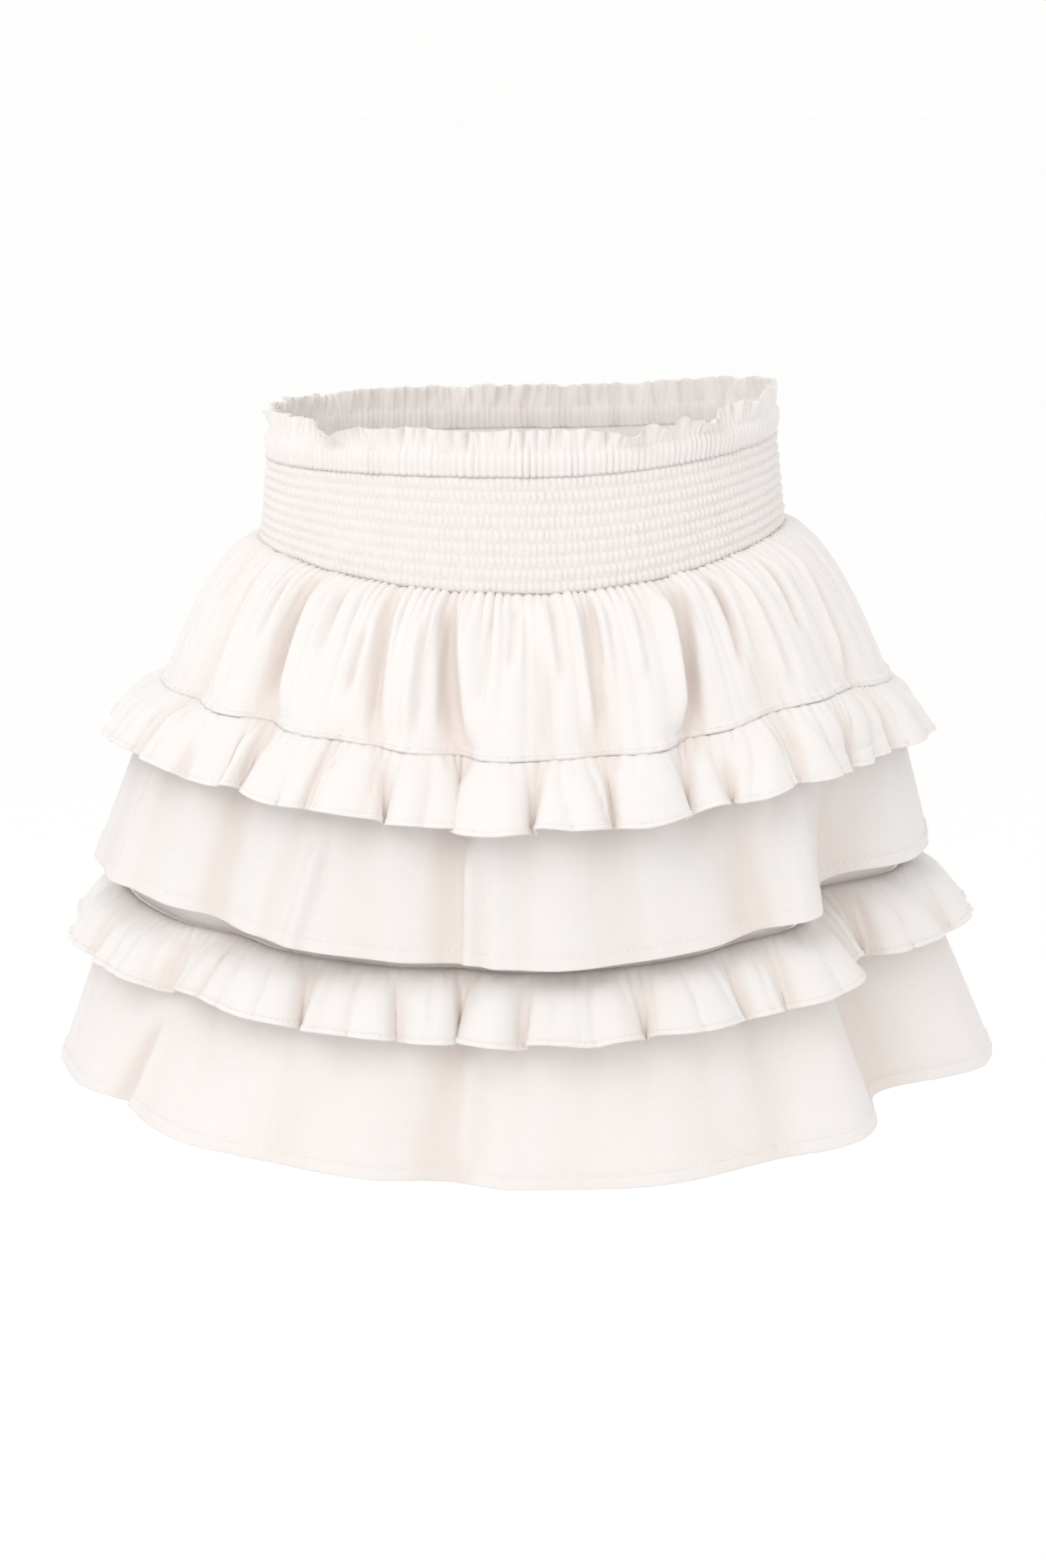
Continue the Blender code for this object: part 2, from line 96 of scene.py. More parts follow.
#                  heights: front   back    left    right  halves: left   right   front   back    flat  lift
RIM = Ring(                0.0170,  0.0175,  0.0180,  0.0300,      0.1245, 0.1240, 0.0975, 0.0980, 2.0, 0.000)
CASING_TOP = Ring(         0.0060,  0.0055,  0.0065,  0.0185,      0.1250, 0.1240, 0.0975, 0.0970, 2.0, 0.000)
CASING_BOTTOM = Ring(     -0.0055, -0.0055, -0.0070,  0.0055,      0.1260, 0.1240, 0.0980, 0.0970, 2.0, 0.000)
BAND_BOTTOM = Ring(       -0.0600, -0.0560, -0.0470, -0.0390,      0.1305, 0.1290, 0.1070, 0.1060, 2.0, 0.000)
SEAM_1 = Ring(            -0.1320, -0.1290, -0.1180, -0.1170,      0.1790, 0.1825, 0.1450, 0.1460, 4.0, 0.007)
MIDDLE_HEM = Ring(        -0.2270, -0.2220, -0.2060, -0.1985,      0.2150, 0.2040, 0.1680, 0.1700, 2.4, 0.001)
SEAM_2 = Ring(            -0.2320, -0.2270, -0.2200, -0.2060,      0.2010, 0.1920, 0.1540, 0.1560, 2.0, 0.000)
BOTTOM_HEM = Ring(        -0.3300, -0.3250, -0.3110, -0.3090,      0.2345, 0.2385, 0.1800, 0.1820, 2.4, 0.000)
LIFT_TURN = 48.0
LIFT_LEFT = 30.0
LIFT_RIGHT = 42.0


def rows_of(kind, rows):
    return tuple(kind(*row) for row in rows)


class Fold(NamedTuple):
    """A soft trough (out below zero) or ridge (out above zero) that runs down a whole piece."""
    top: float
    bottom: float
    left: float
    right: float
    out_top: float
    out_bottom: float


YOKE_FOLDS = rows_of(Fold, (
    # top, bottom, left, right, out_top, out_bottom
    (  -66,   -64,   9,   8,  -0.001,  -0.004),
    (  -54,   -53,   7,   7,  0.0015,   0.004),
    (-44.5,   -43,   8, 5.5,  -0.002, -0.0065),
    (  -36,   -35,   6,   6,   0.001,  0.0035),
    (-28.5, -28.5,   5,   5,  -0.001, -0.0025),
    (  -25, -22.5, 5.5,   5,  -0.002,  -0.004),
    (  -13,  -9.5,   7, 4.5,  -0.002,  -0.008),
    ( -4.5,    -3,   5,   6,   0.001,   0.004),
    (  4.5,     6,   4, 4.5,  -0.001,  -0.001),
    ( 10.5,  11.5,   5,   5, -0.0015, -0.0035),
    (   20,  18.5,   5,   5,   0.001,   0.004),
    ( 28.5,  25.5,   5,   7,  -0.002,  -0.008),
    (   40,    39,   6,   6,  -0.001, -0.0025),
    (   50,    49,   7,   7,   0.001,  0.0035),
    (   64,    62,   9,   9,  -0.001, -0.0045),
    (  104,   106,   8,   9, -0.0015,  -0.005),
    (  121,   122,   7,   6,   0.001,  0.0035),
    (  132,   134,   7,   7,  -0.002, -0.0065),
    (  150,   149,   6,   6,  -0.001,  -0.003),
    (  162,   161,   6,   7,   0.001,   0.004),
    (  173,   172,   6,   6,  -0.002,  -0.007),
    (  188,   190,   6,   6,  -0.001,  -0.003),
    (  203,   202,   7,   6, -0.0015,  -0.006),
    (  217,   216,   6,   6,   0.001,   0.004),
    (  230,   231,   7,   7,  -0.002, -0.0055),
    (  250,   248,   9,   8,  -0.001, -0.0045),
))

MIDDLE_FOLDS = rows_of(Fold, (
    # top, bottom, left, right, out_top, out_bottom
    ( -68,  -67,    9,   6,      0,  0.004),
    ( -46,  -44,   11,   8, -0.001, -0.008),
    ( -27,  -29,    7,  11,  0.001,  0.005),
    (  -9,   -8,    9,   5, -0.002, -0.009),
    (   4,    5,    7,   9,  0.001,  0.004),
    (  29,   34,    9, 6.5, -0.002, -0.006),
    (  41,   41,    8,   6,  0.002,  0.005),
    (53.5, 54.5, 12.5,  18,      0, -0.028),
    ( 104,  108,   12,  14,      0, -0.015),
    ( 126,  128,    9,   9,  0.001,  0.006),
    ( 143,  146,   12,   9, -0.001, -0.011),
    ( 164,  165,    9,   8,  0.001,  0.005),
    ( 178,  179,    8,  10, -0.001,  -0.01),
    ( 205,  207,   10,  10, -0.001, -0.008),
    ( 222,  223,    8,   9,  0.001,  0.005),
    ( 240,  241,   12,  12, -0.001, -0.017),
))

UNDERLAYER_FOLDS = rows_of(Fold, (
    # top, bottom, left, right, out_top, out_bottom
    ( -44,  -44, 12, 10, 0, -0.007),
    (  -9,   -8, 10,  7, 0, -0.006),
    (  33,   33,  9,  8, 0, -0.004),
    (53.5, 55.5, 14, 20, 0, -0.029),
    ( 104,  109, 14, 15, 0, -0.017),
    ( 143,  147, 12, 10, 0,  -0.01),
    ( 178,  179, 10, 10, 0, -0.009),
    ( 205,  207, 10, 10, 0, -0.007),
    ( 240,  241, 13, 13, 0, -0.018),
))

BOTTOM_FOLDS = rows_of(Fold, (
    # top, bottom, left, right, out_top, out_bottom
    ( -44, -59, 11,  9, -0.007, -0.008),
    ( -30, -43, 10, 12,      0,  0.006),
    (  -8,  -9, 10,  8, -0.006,  -0.01),
    (  14,  15, 12, 12,      0,  0.005),
    (  33,  30,  9,  9, -0.004, -0.003),
    (  41,  40, 10,  6,      0,  0.004),
    (55.5,  57, 14, 22, -0.029, -0.034),
    ( 109, 111, 14, 15, -0.017, -0.023),
    ( 128, 130, 10, 10,      0,  0.006),
    ( 147, 149, 12, 10,  -0.01, -0.016),
    ( 179, 180, 10, 10, -0.009, -0.014),
    ( 194, 194,  9,  9,      0,  0.006),
    ( 207, 209, 10, 10, -0.007, -0.011),
    ( 241, 242, 13, 14, -0.018, -0.024),
))


class Crease(NamedTuple):
    """A thin fold over part of a piece: a lip that stands over a narrow valley beside it.

    It runs from `top` at drop `start` to `bottom` at drop `end`. `width` and `depth` are in millimetres,
    and a negative depth puts the lip on the other side.
    """
    top: float
    bottom: float
    start: float
    end: float
    width: float
    depth: float


YOKE_CREASES = rows_of(Crease, (
    # top, bottom, start, end, width, depth
    (  -78,   -76, 0.05,  0.6,   3,  1.2),
    (  -71,   -70, 0.02, 0.45, 2.6,   -1),
    (  -60,   -58, 0.05, 0.95, 3.2,  1.3),
    (  -51, -49.5,    0, 0.55, 2.6,  1.1),
    (  -44, -42.5, 0.02,    1, 4.2,  3.2),
    (  -37, -36.5, 0.05,  0.5, 2.4, -1.2),
    (-28.4, -28.6, 0.25, 0.75, 2.2,  1.4),
    (-24.6, -22.8,    0,    1,   3,  2.2),
    (-18.5,   -17,  0.1, 0.95, 2.6, -1.6),
    (  -13,  -8.6,    0,    1,   4,  3.6),
    ( -4.8,  -6.3, 0.04,  0.8, 2.4,  1.3),
    ( -0.4,  -1.4, 0.02,  0.5,   2,  1.2),
    (  4.8,   6.2, 0.02, 0.55, 2.4, -1.6),
    ( 10.4,  11.4,    0, 0.95, 2.6, -1.9),
    (   14,  13.8,    0,  0.5,   2,  1.1),
    ( 20.5,    20, 0.05,  0.6, 2.4, -1.1),
    ( 28.4,  25.4, 0.04,    1, 4.2, -3.4),
    (   33,  28.6,    0, 0.85, 3.2,  1.6),
    ( 40.8,  38.6,    0,  0.7, 2.4,  1.5),
    (   46,  45.5,  0.1,  0.9,   3, -1.2),
    (   56,    54, 0.02,  0.6, 2.6,  1.2),
    (   66,    63,    0, 0.95, 3.2, -1.7),
    (   77,    76, 0.02, 0.55, 2.6,  1.1),
    (   97,    98, 0.02,  0.8, 2.8,  1.3),
    (  107,   108,    0, 0.95, 3.4,   -2),
    (  117, 116.5, 0.04,  0.5, 2.4,  1.2),
    (  133, 134.5,    0,    1,   4,    3),
    (  141, 141.5,  0.1,  0.7, 2.6, -1.3),
    (  151,   150, 0.02,  0.9, 2.8,  1.6),
    (173.5, 172.4,    0,    1,   4,   -3),
    (  181,   182, 0.06, 0.55, 2.4,  1.3),
    (  189, 190.5,    0, 0.85, 2.8,  1.5),
    (  203,   202, 0.02,    1, 3.4,  2.5),
    (  211,   210, 0.05, 0.55, 2.4, -1.2),
    (  224,   225, 0.04,  0.7, 2.6,  1.3),
    (  231,   232,    0,    1, 3.6, -2.6),
    (  243,   242, 0.05,  0.6, 2.6,  1.2),
    (  256,   254, 0.02, 0.85,   3, -1.5),
))

MIDDLE_CREASES = rows_of(Crease, (
    # top, bottom, start, end, width, depth
    (-67.5,  -67,  0.3,  0.9,   3,  1.2),
    (  -27,  -29,  0.4, 1.05, 3.4, -1.6),
    ( -6.2, -5.8, 0.35, 1.05,   3, -1.8),
    ( 37.5, 39.5,  0.4,    1, 3.2,  0.9),
    (  112,  117, 0.35, 1.05, 3.6,  1.2),
    (  153,  154,  0.4,    1, 3.4, -1.4),
    (  187,  188, 0.35, 1.05, 3.4,  1.3),
    (  231,  230,  0.4, 1.05, 3.6,  1.2),
))

BOTTOM_CREASES = rows_of(Crease, (
    # top, bottom, start, end, width, depth
    (-53, -58.5, 0.45, 1.05, 4.5,  1.6),
    ( -5,    -6, 0.35,    1,   5,   -1),
    (116,   119, 0.35, 1.05, 4.5,  1.2),
    (156,   157,  0.4,    1, 4.5, -1.2),
    (214,   216,  0.4, 1.05, 4.5,  1.2),
))


class Pinch(NamedTuple):
    """A place where a ruffle folds back in between two of its lobes.

    `back` is 1 where it folds right back to the tier beneath. `lap` is how many millimetres the lobe on
    each side closes over it, and `curl` how many millimetres the hem rises beside it.
    """
    turn: float
    left: float
    right: float
    back: float
    lap_left: float
    lap_right: float
    curl: float


UPPER_PINCHES = rows_of(Pinch, (
    # turn, left, right, back, lap_left, lap_right, curl
    (  -66,   5,   5,  0.6,   1, 0.6,   0),
    (-53.5,   4,   5,  0.7, 1.2, 0.8,   0),
    (-40.5,   5,   4,    1, 1.4, 2.6,   1),
    (-29.5,   4,   4, 0.55, 0.6,   1,   0),
    (  -19,   5, 3.5,    1,   3, 1.4, 0.8),
    (   -9, 4.5, 4.5,    1, 2.6, 2.2,   0),
    (    2,   4,   4,  0.9,   1, 3.2, 2.6),
    (   12,   4, 3.5,  0.5, 0.8, 0.8,   0),
    ( 22.5,   5,   5,    1, 3.6, 2.6, 2.4),
    (   31,   4,   4, 0.65, 1.2,   2,   0),
    ( 40.5,   4, 4.5,  0.8, 1.8,   1,   0),
    ( 52.5,   5,   5,  0.8,   1, 2.2, 0.6),
    (   66,   5,   5,  0.7,   2,   1,   0),
    (   76,   5,   5,  0.5,   1,   1,   0),
    (   90,  13,  12,  0.9,   1,   1,   0),
    (  103,   5,   5,  0.6, 1.4,   1,   0),
    (  114,   5,   5, 0.65,   1, 1.6,   0),
    (  126, 4.5,   5,    1, 2.6, 1.8, 1.2),
    (  138, 4.5,   4,  0.6, 0.8, 1.2,   0),
    (  148, 4.5,   4,  0.9, 1.6, 2.6,   1),
    (  160, 4.5,   4,  0.6,   1, 0.8,   0),
    (  170, 4.5, 4.5,    1, 2.4, 2.4, 0.8),
    (  182, 4.5, 4.5,  0.7, 1.4, 0.8,   0),
    (  192,   4, 4.5,  0.9,   1, 2.4, 1.6),
    (  204, 4.5, 4.5, 0.65, 1.2,   1,   0),
    (  216, 4.5, 4.5,    1, 2.8,   2,   1),
    (  229,   5,   5,  0.7, 1.2, 1.6,   0),
    (  241,   5, 4.5,  0.9, 2.4, 1.6,   1),
    (  255,   5,   5, 0.65,   1, 1.2,   0),
    (  270,   9,   9,  0.6, 0.8, 0.8,   0),
))

LOWER_PINCHES = rows_of(Pinch, (
    # turn, left, right, back, lap_left, lap_right, curl
    (  -70,   6,   5,  0.6,   1, 1.4,   0),
    (  -52,   7,   8,    1,   1,   3, 0.6),
    (-28.5,   4,   4,    1, 2.2,   2,   0),
    (  -16, 4.5,   5,  0.8,   3,   1,   0),
    ( -7.5, 4.5, 4.5,    1, 1.6, 3.2,   0),
    (  0.5,   4,   4,  0.9,   1, 2.8, 1.2),
    ( 15.5,   4, 4.5, 0.85, 1.8, 2.4, 1.8),
    ( 28.5,   5,   5, 0.75, 2.8,   1,   1),
    (   36,   4,   4,  0.6,   1, 2.4, 0.6),
    ( 49.5,   4,   6,  0.9, 3.4,   1,   3),
    (   61,   5,   5, 0.75, 1.4, 2.2, 1.4),
    (   74,   5,   5,  0.8, 2.4,   1,   1),
    (   87,   5,   5,  0.4, 0.8, 0.8,   0),
    (   98,   5,   5,  0.6, 1.2,   1,   0),
    (  110,   5,   5,  0.9,   2, 2.4,   1),
    (  122, 4.5,   5, 0.65,   1, 1.4,   0),
    (  134,   5, 4.5,  0.9, 2.8, 1.2, 1.2),
    (  146, 4.5,   5,    1, 1.6, 2.8, 0.6),
    (  158,   5,   5,  0.6, 1.2,   1,   0),
    (  168, 4.5, 4.5,  0.9, 2.2, 1.6,   1),
    (  179, 4.5, 4.5,    1, 2.4, 2.4, 0.8),
    (  191, 4.5, 4.5, 0.65,   1, 1.4,   0),
    (  202, 4.5, 4.5,  0.9, 1.4, 2.6, 1.2),
    (  213, 4.5,   5,    1, 2.6, 1.8, 0.8),
    (  226,   5,   5, 0.65, 1.2, 1.2,   0),
    (  238,   5,   5,    1, 2.2, 2.6,   1),
    (  252,   5,   5, 0.75, 1.6, 1.2,   0),
    (  270,   9,   9, 0.65, 0.8, 0.8,   0),
))

UPPER_RUFFLE_SHARE = 0.355
LOWER_RUFFLE_SHARE = 0.345
RUFFLE_REST = 0.0030
RUFFLE_FLARE = 0.0125
SEAT = 0.0010                # from the middle of a tier's wall to the inner face of the ruffle on it
MIDDLE_FOLDS_START = 0.25
PUFF = 0.56
HANG = 0.92


# ---------------------------------------------------------------------------------------------------
# Surfaces, worked out for whole grids: a row for each drop, a column for each turn


def even_turns(count):
    return np.linspace(-90.0, 270.0, count, endpoint=False)


def turn_between(turns, centre):
    """How far each turn lies past a centre, from -180 to 180 degrees."""
    return (turns - centre + 180.0) % 360.0 - 180.0


def soft_bump(away, left, right):
    """1 at the centre, falling to 0 at `left` degrees before it and `right` degrees after it."""
    share = np.where(away < 0, away / left, away / right)
    return np.where(np.abs(share) < 1, 0.5 + 0.5 * np.cos(math.pi * share), 0.0)


def ease(value, low, high):
    """0 below `low`, 1 above `high`, smooth between."""
    share = np.clip((value - low) / (high - low), 0.0, 1.0)
    return share * share * (3.0 - 2.0 * share)


def ring_points(ring, turns):
    across = np.sin(np.radians(turns))
    ahead = np.cos(np.radians(turns))
    half = np.where(across > 0, ring.right_half, ring.left_half)
    depth = np.where(ahead > 0, ring.front_half, ring.back_half)
    side_height = np.where(across > 0, ring.right_height, ring.left_height)
    end_height = np.where(ahead > 0, ring.front_height, ring.back_height)
    height = side_height + (end_height - side_height) * np.abs(ahead) ** ring.flat
    height = height + ring.lift * soft_bump(turn_between(turns, LIFT_TURN), LIFT_LEFT, LIFT_RIGHT)
    return np.stack([half * across, -depth * ahead, height], axis=-1)


def level_grid(upper, lower, swell, turns, drops):
    """Points between two rings, the widths following drop ** swell."""
    high = ring_points(upper, turns)[None]
    low = ring_points(lower, turns)[None]
    share = drops[:, None]
    grid = high + (low - high) * (share ** swell)[..., None]
    grid[..., 2] = high[..., 2] + (low[..., 2] - high[..., 2]) * share
    return grid


def level_outward(grid):
    """Level directions straight out of each row of a closed grid."""
    along = np.roll(grid, -1, axis=1) - np.roll(grid, 1, axis=1)
    ways = np.stack([along[..., 1], -along[..., 0], np.zeros(along.shape[:2])], axis=-1)
    return ways / np.linalg.norm(ways, axis=-1, keepdims=True)


def grid_normals(grid):
    """Outward normals of a closed grid."""
    along = np.roll(grid, -1, axis=1) - np.roll(grid, 1, axis=1)
    down = np.gradient(grid, axis=0)
    normals = np.cross(down, along)
    return normals / np.maximum(np.linalg.norm(normals, axis=-1, keepdims=True), 1e-12)


def row_directions(grid):
    """Unit directions along each row, towards larger turns."""
    along = np.roll(grid, -1, axis=1) - np.roll(grid, 1, axis=1)
    return along / np.maximum(np.linalg.norm(along, axis=-1, keepdims=True), 1e-12)


def folds_out(folds, turns, drops):
    share = drops[:, None]
    total = np.zeros((len(drops), len(turns)))
    for fold in folds:
        away = turn_between(turns[None], fold.top + (fold.bottom - fold.top) * share)
        out = fold.out_top + (fold.out_bottom - fold.out_top) * share
        total += out * soft_bump(away, fold.left, fold.right)
    return total


def creases_out(creases, turns, drops, radius):
    """How far the thin folds move a piece outwards, for a piece about `radius` from its centre line."""
    share = drops[:, None]
    total = np.zeros((len(drops), len(turns)))
    for crease in creases:
        along = (share - crease.start) / (crease.end - crease.start)
        centre = crease.top + (crease.bottom - crease.top) * along
        away = np.radians(turn_between(turns[None], centre)) * radius / (crease.width * MM)
        strength = ease(along, -0.05, 0.20) * (1.0 - ease(along, 0.70, 1.02))
        if crease.end > 1.0:
            strength = ease(along, -0.05, 0.30)
        lip = away * np.exp(-0.5 * away ** 2) * 1.65
        total += crease.depth * MM * strength * (0.45 * lip - 0.55 * np.abs(lip) * (lip < 0))
    return total


def wander(turns, waves, seed):
    """An irregular smooth line round the skirt, from -1 to 1, with up to `waves` swings."""
    draw = np.random.default_rng(seed)
    counts = np.arange(1, waves + 1)
    sizes = draw.normal(size=waves)
    starts = draw.uniform(0.0, 2.0 * math.pi, waves)
    angles = np.radians(turns)
    line = (sizes[:, None] * np.sin(counts[:, None] * angles[None] + starts[:, None])).sum(axis=0)
    return line / np.abs(line).max()


def gathers(turns, drops, count, seed, wobble=1.6, drift=2.0, roundness=0.7):
    """Uneven gathers, 0 in their sharp valleys and up to 1 on their round ridges.

    There are about `count` of them round the skirt. They lean and merge by `drift` as they run down.
    """
    angles = np.radians(turns)[None]
    wobbled = wobble * wander(turns, max(count // 3, 3), seed)[None]
    drifting = drift * wander(turns, max(count // 8, 3), seed + 1)[None] * drops[:, None]
    phase = count * angles + wobbled + drifting
    ridge = np.abs(np.sin(0.5 * phase)) ** roundness
    strength = 0.62 + 0.38 * wander(turns, max(count // 4, 3), seed + 2)[None]
    return ridge * strength


def yoke_grid(turns, drops):
    grid = level_grid(BAND_BOTTOM, SEAM_1, PUFF, turns, drops)
    return grid + level_outward(grid) * folds_out(YOKE_FOLDS, turns, drops)[..., None]


def seam_1_out(turns, drops):
    """What is left, lower down, of the folds that the yoke has at seam 1."""
    at_seam = folds_out(YOKE_FOLDS, turns, np.array([1.0]))
    return at_seam * (1.0 - drops[:, None]) ** 2


def middle_grid(turns, drops):
    grid = level_grid(SEAM_1, MIDDLE_HEM, HANG, turns, drops)
    own = folds_out(MIDDLE_FOLDS, turns, drops) * np.minimum(1.0, drops / MIDDLE_FOLDS_START)[:, None]
    return grid + level_outward(grid) * (seam_1_out(turns, drops) + own)[..., None]


def underlayer_grid(turns, drops):
    grid = level_grid(SEAM_1, SEAM_2, 1.0, turns, drops)
    out = seam_1_out(turns, drops) + folds_out(UNDERLAYER_FOLDS, turns, drops)
    return grid + level_outward(grid) * out[..., None]


def bottom_grid(turns, drops):
    grid = level_grid(SEAM_2, BOTTOM_HEM, HANG, turns, drops)
    above = folds_out(UNDERLAYER_FOLDS, turns, np.array([1.0]))
    below = folds_out(BOTTOM_FOLDS, turns, drops)
    out = above + (below - above) * drops[:, None]
    return grid + level_outward(grid) * out[..., None]


# ---------------------------------------------------------------------------------------------------
# Meshes


def shell_object(name, grid, outer, inner, around, down):
    """A closed ring of cloth round a grid, `outer` and `inner` away from it. Its UV map is in metres."""
    normals = grid_normals(grid)
    faces_out = grid + normals * np.broadcast_to(outer, grid.shape[:2])[..., None]
    faces_in = grid - normals * np.broadcast_to(inner, grid.shape[:2])[..., None]
    return ring_object(name, faces_out, faces_in, around, down)


def ring_object(name, skin, lining, around, down):
    """A closed ring between an outer and an inner grid. The inner one may have fewer rows."""
    columns = skin.shape[1]
    skin_rows, lining_rows = len(skin), len(lining)
    points = np.concatenate([skin.reshape(-1, 3), lining.reshape(-1, 3)])
    ids = np.arange(skin_rows * columns).reshape(skin_rows, columns)
    back_ids = skin_rows * columns + np.arange(lining_rows * columns).reshape(lining_rows, columns)

    def quads(first, second):
        """Faces between two rows of vertex numbers, facing away from the skirt's centre line."""
        return np.stack([first, second, np.roll(second, -1), np.roll(first, -1)], axis=-1)

    faces = [quads(ids[r], ids[r + 1]) for r in range(skin_rows - 1)]
    faces += [quads(back_ids[r + 1], back_ids[r]) for r in range(lining_rows - 1)]
    faces += [quads(back_ids[0], ids[0]), quads(ids[-1], back_ids[-1])]
    corners = np.concatenate(faces)
    mesh = bpy.data.meshes.new(name)
    mesh.vertices.add(len(points))
    mesh.vertices.foreach_set("co", points.astype(np.float32).ravel())
    mesh.loops.add(corners.size)
    mesh.loops.foreach_set("vertex_index", corners.astype(np.int32).ravel())
    mesh.polygons.add(len(corners))
    mesh.polygons.foreach_set("loop_start", np.arange(0, corners.size, 4, dtype=np.int32))
    mesh.update(calc_edges=True)
    mesh.validate()
    add_metre_uvs(mesh, corners, columns, skin_rows, lining_rows, around, down)
    # The fold attribute drives the painted fold shade in the material. The lining gets a constant 0.35 of it,
    # as painted shade on the inner faces.
    depths = np.concatenate([fold_depths(skin).ravel(), np.full(lining_rows * columns, 0.35)])
    mesh.attributes.new("fold", "FLOAT", "POINT").data.foreach_set("value", depths.astype(np.float32))
    mesh.shade_smooth()
    piece = bpy.data.objects.new(name, mesh)
    bpy.context.scene.collection.objects.link(piece)
    return piece


def fold_depths(skin):
    """How deep in its folds each point lies, from 0 to 1, which sets the painted fold shade."""
    reach = np.hypot(skin[..., 0], skin[..., 1])
    window = skin.shape[1] // 60
    shifts = np.linspace(-window, window, 9).astype(int)
    around = sum(np.roll(reach, shift, axis=1) for shift in shifts) / len(shifts)
    return np.clip((around - reach) / (2.2 * MM), 0.0, 1.0)


def add_metre_uvs(mesh, corners, columns, skin_rows, lining_rows, around, down):
    """A UV map in metres: across the cloth and down it."""
    across = np.tile(np.arange(columns) / columns, skin_rows + lining_rows)
    rows = [np.repeat(np.linspace(0.0, 1.0, count), columns) for count in (skin_rows, lining_rows)]
    u = across[corners] * around
    wraps = (across[corners] == 0.0) & (across[corners].max(axis=1, keepdims=True) > 0.5)
    u = np.where(wraps, around, u)
    v = np.concatenate(rows)[corners] * down
    layer = mesh.uv_layers.new(name="cloth")
    layer.data.foreach_set("uv", np.stack([u, v], axis=-1).astype(np.float32).ravel())


def finish_piece(piece, nodes, material):
    piece.data.materials.append(material)
    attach(piece, BODY)
    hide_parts(*nodes)


def both_sides(name):
    return ("front_" + name, "back_" + name)


# ---------------------------------------------------------------------------------------------------
# Materials


class Socket:
    """A shader socket that adds its Math nodes as it is used in sums."""

    def __init__(self, nodes, link):
        self.nodes = nodes
        self.link = link

    def _math(self, operation, first, second):
        node = self.nodes.add("ShaderNodeMath", {"operation": operation}, {0: first, 1: second})
        return Socket(self.nodes, node.outputs[0])

    def __add__(self, other):
        return self._math("ADD", self, other)

    def __radd__(self, other):
        return self._math("ADD", other, self)

    def __mul__(self, other):
        return self._math("MULTIPLY", self, other)

    def __rmul__(self, other):
        return self._math("MULTIPLY", other, self)


class Nodes:
    """The nodes of one material."""

    def __init__(self, name):
        self.material = bpy.data.materials.new(name)
        self.material.use_nodes = True
        self.tree = self.material.node_tree
        self.tree.nodes.clear()

    def add(self, kind, settings=None, inputs=None):
        """A node of a kind, with its settings, and values or links for its sockets."""
        node = self.tree.nodes.new(kind)
        for key, value in (settings or {}).items():
            setattr(node, key, value)
        for key, value in (inputs or {}).items():
            if isinstance(value, Socket):
                self.tree.links.new(value.link, node.inputs[key])
            else:
                node.inputs[key].default_value = value
        return node

    def out(self, kind, settings=None, inputs=None, output=0):
        return Socket(self, self.add(kind, settings, inputs).outputs[output])


# Painted fold shade: a warm darker colour that the cloth is mixed towards deep in its folds, up to the share
# below. It stands in for the shade and warm bounced light there.
PAINTED_FOLD_SHADE = (0.86, 0.775, 0.722)
PAINTED_FOLD_SHADE_SHARE = 0.7
WEAVE = 320.0


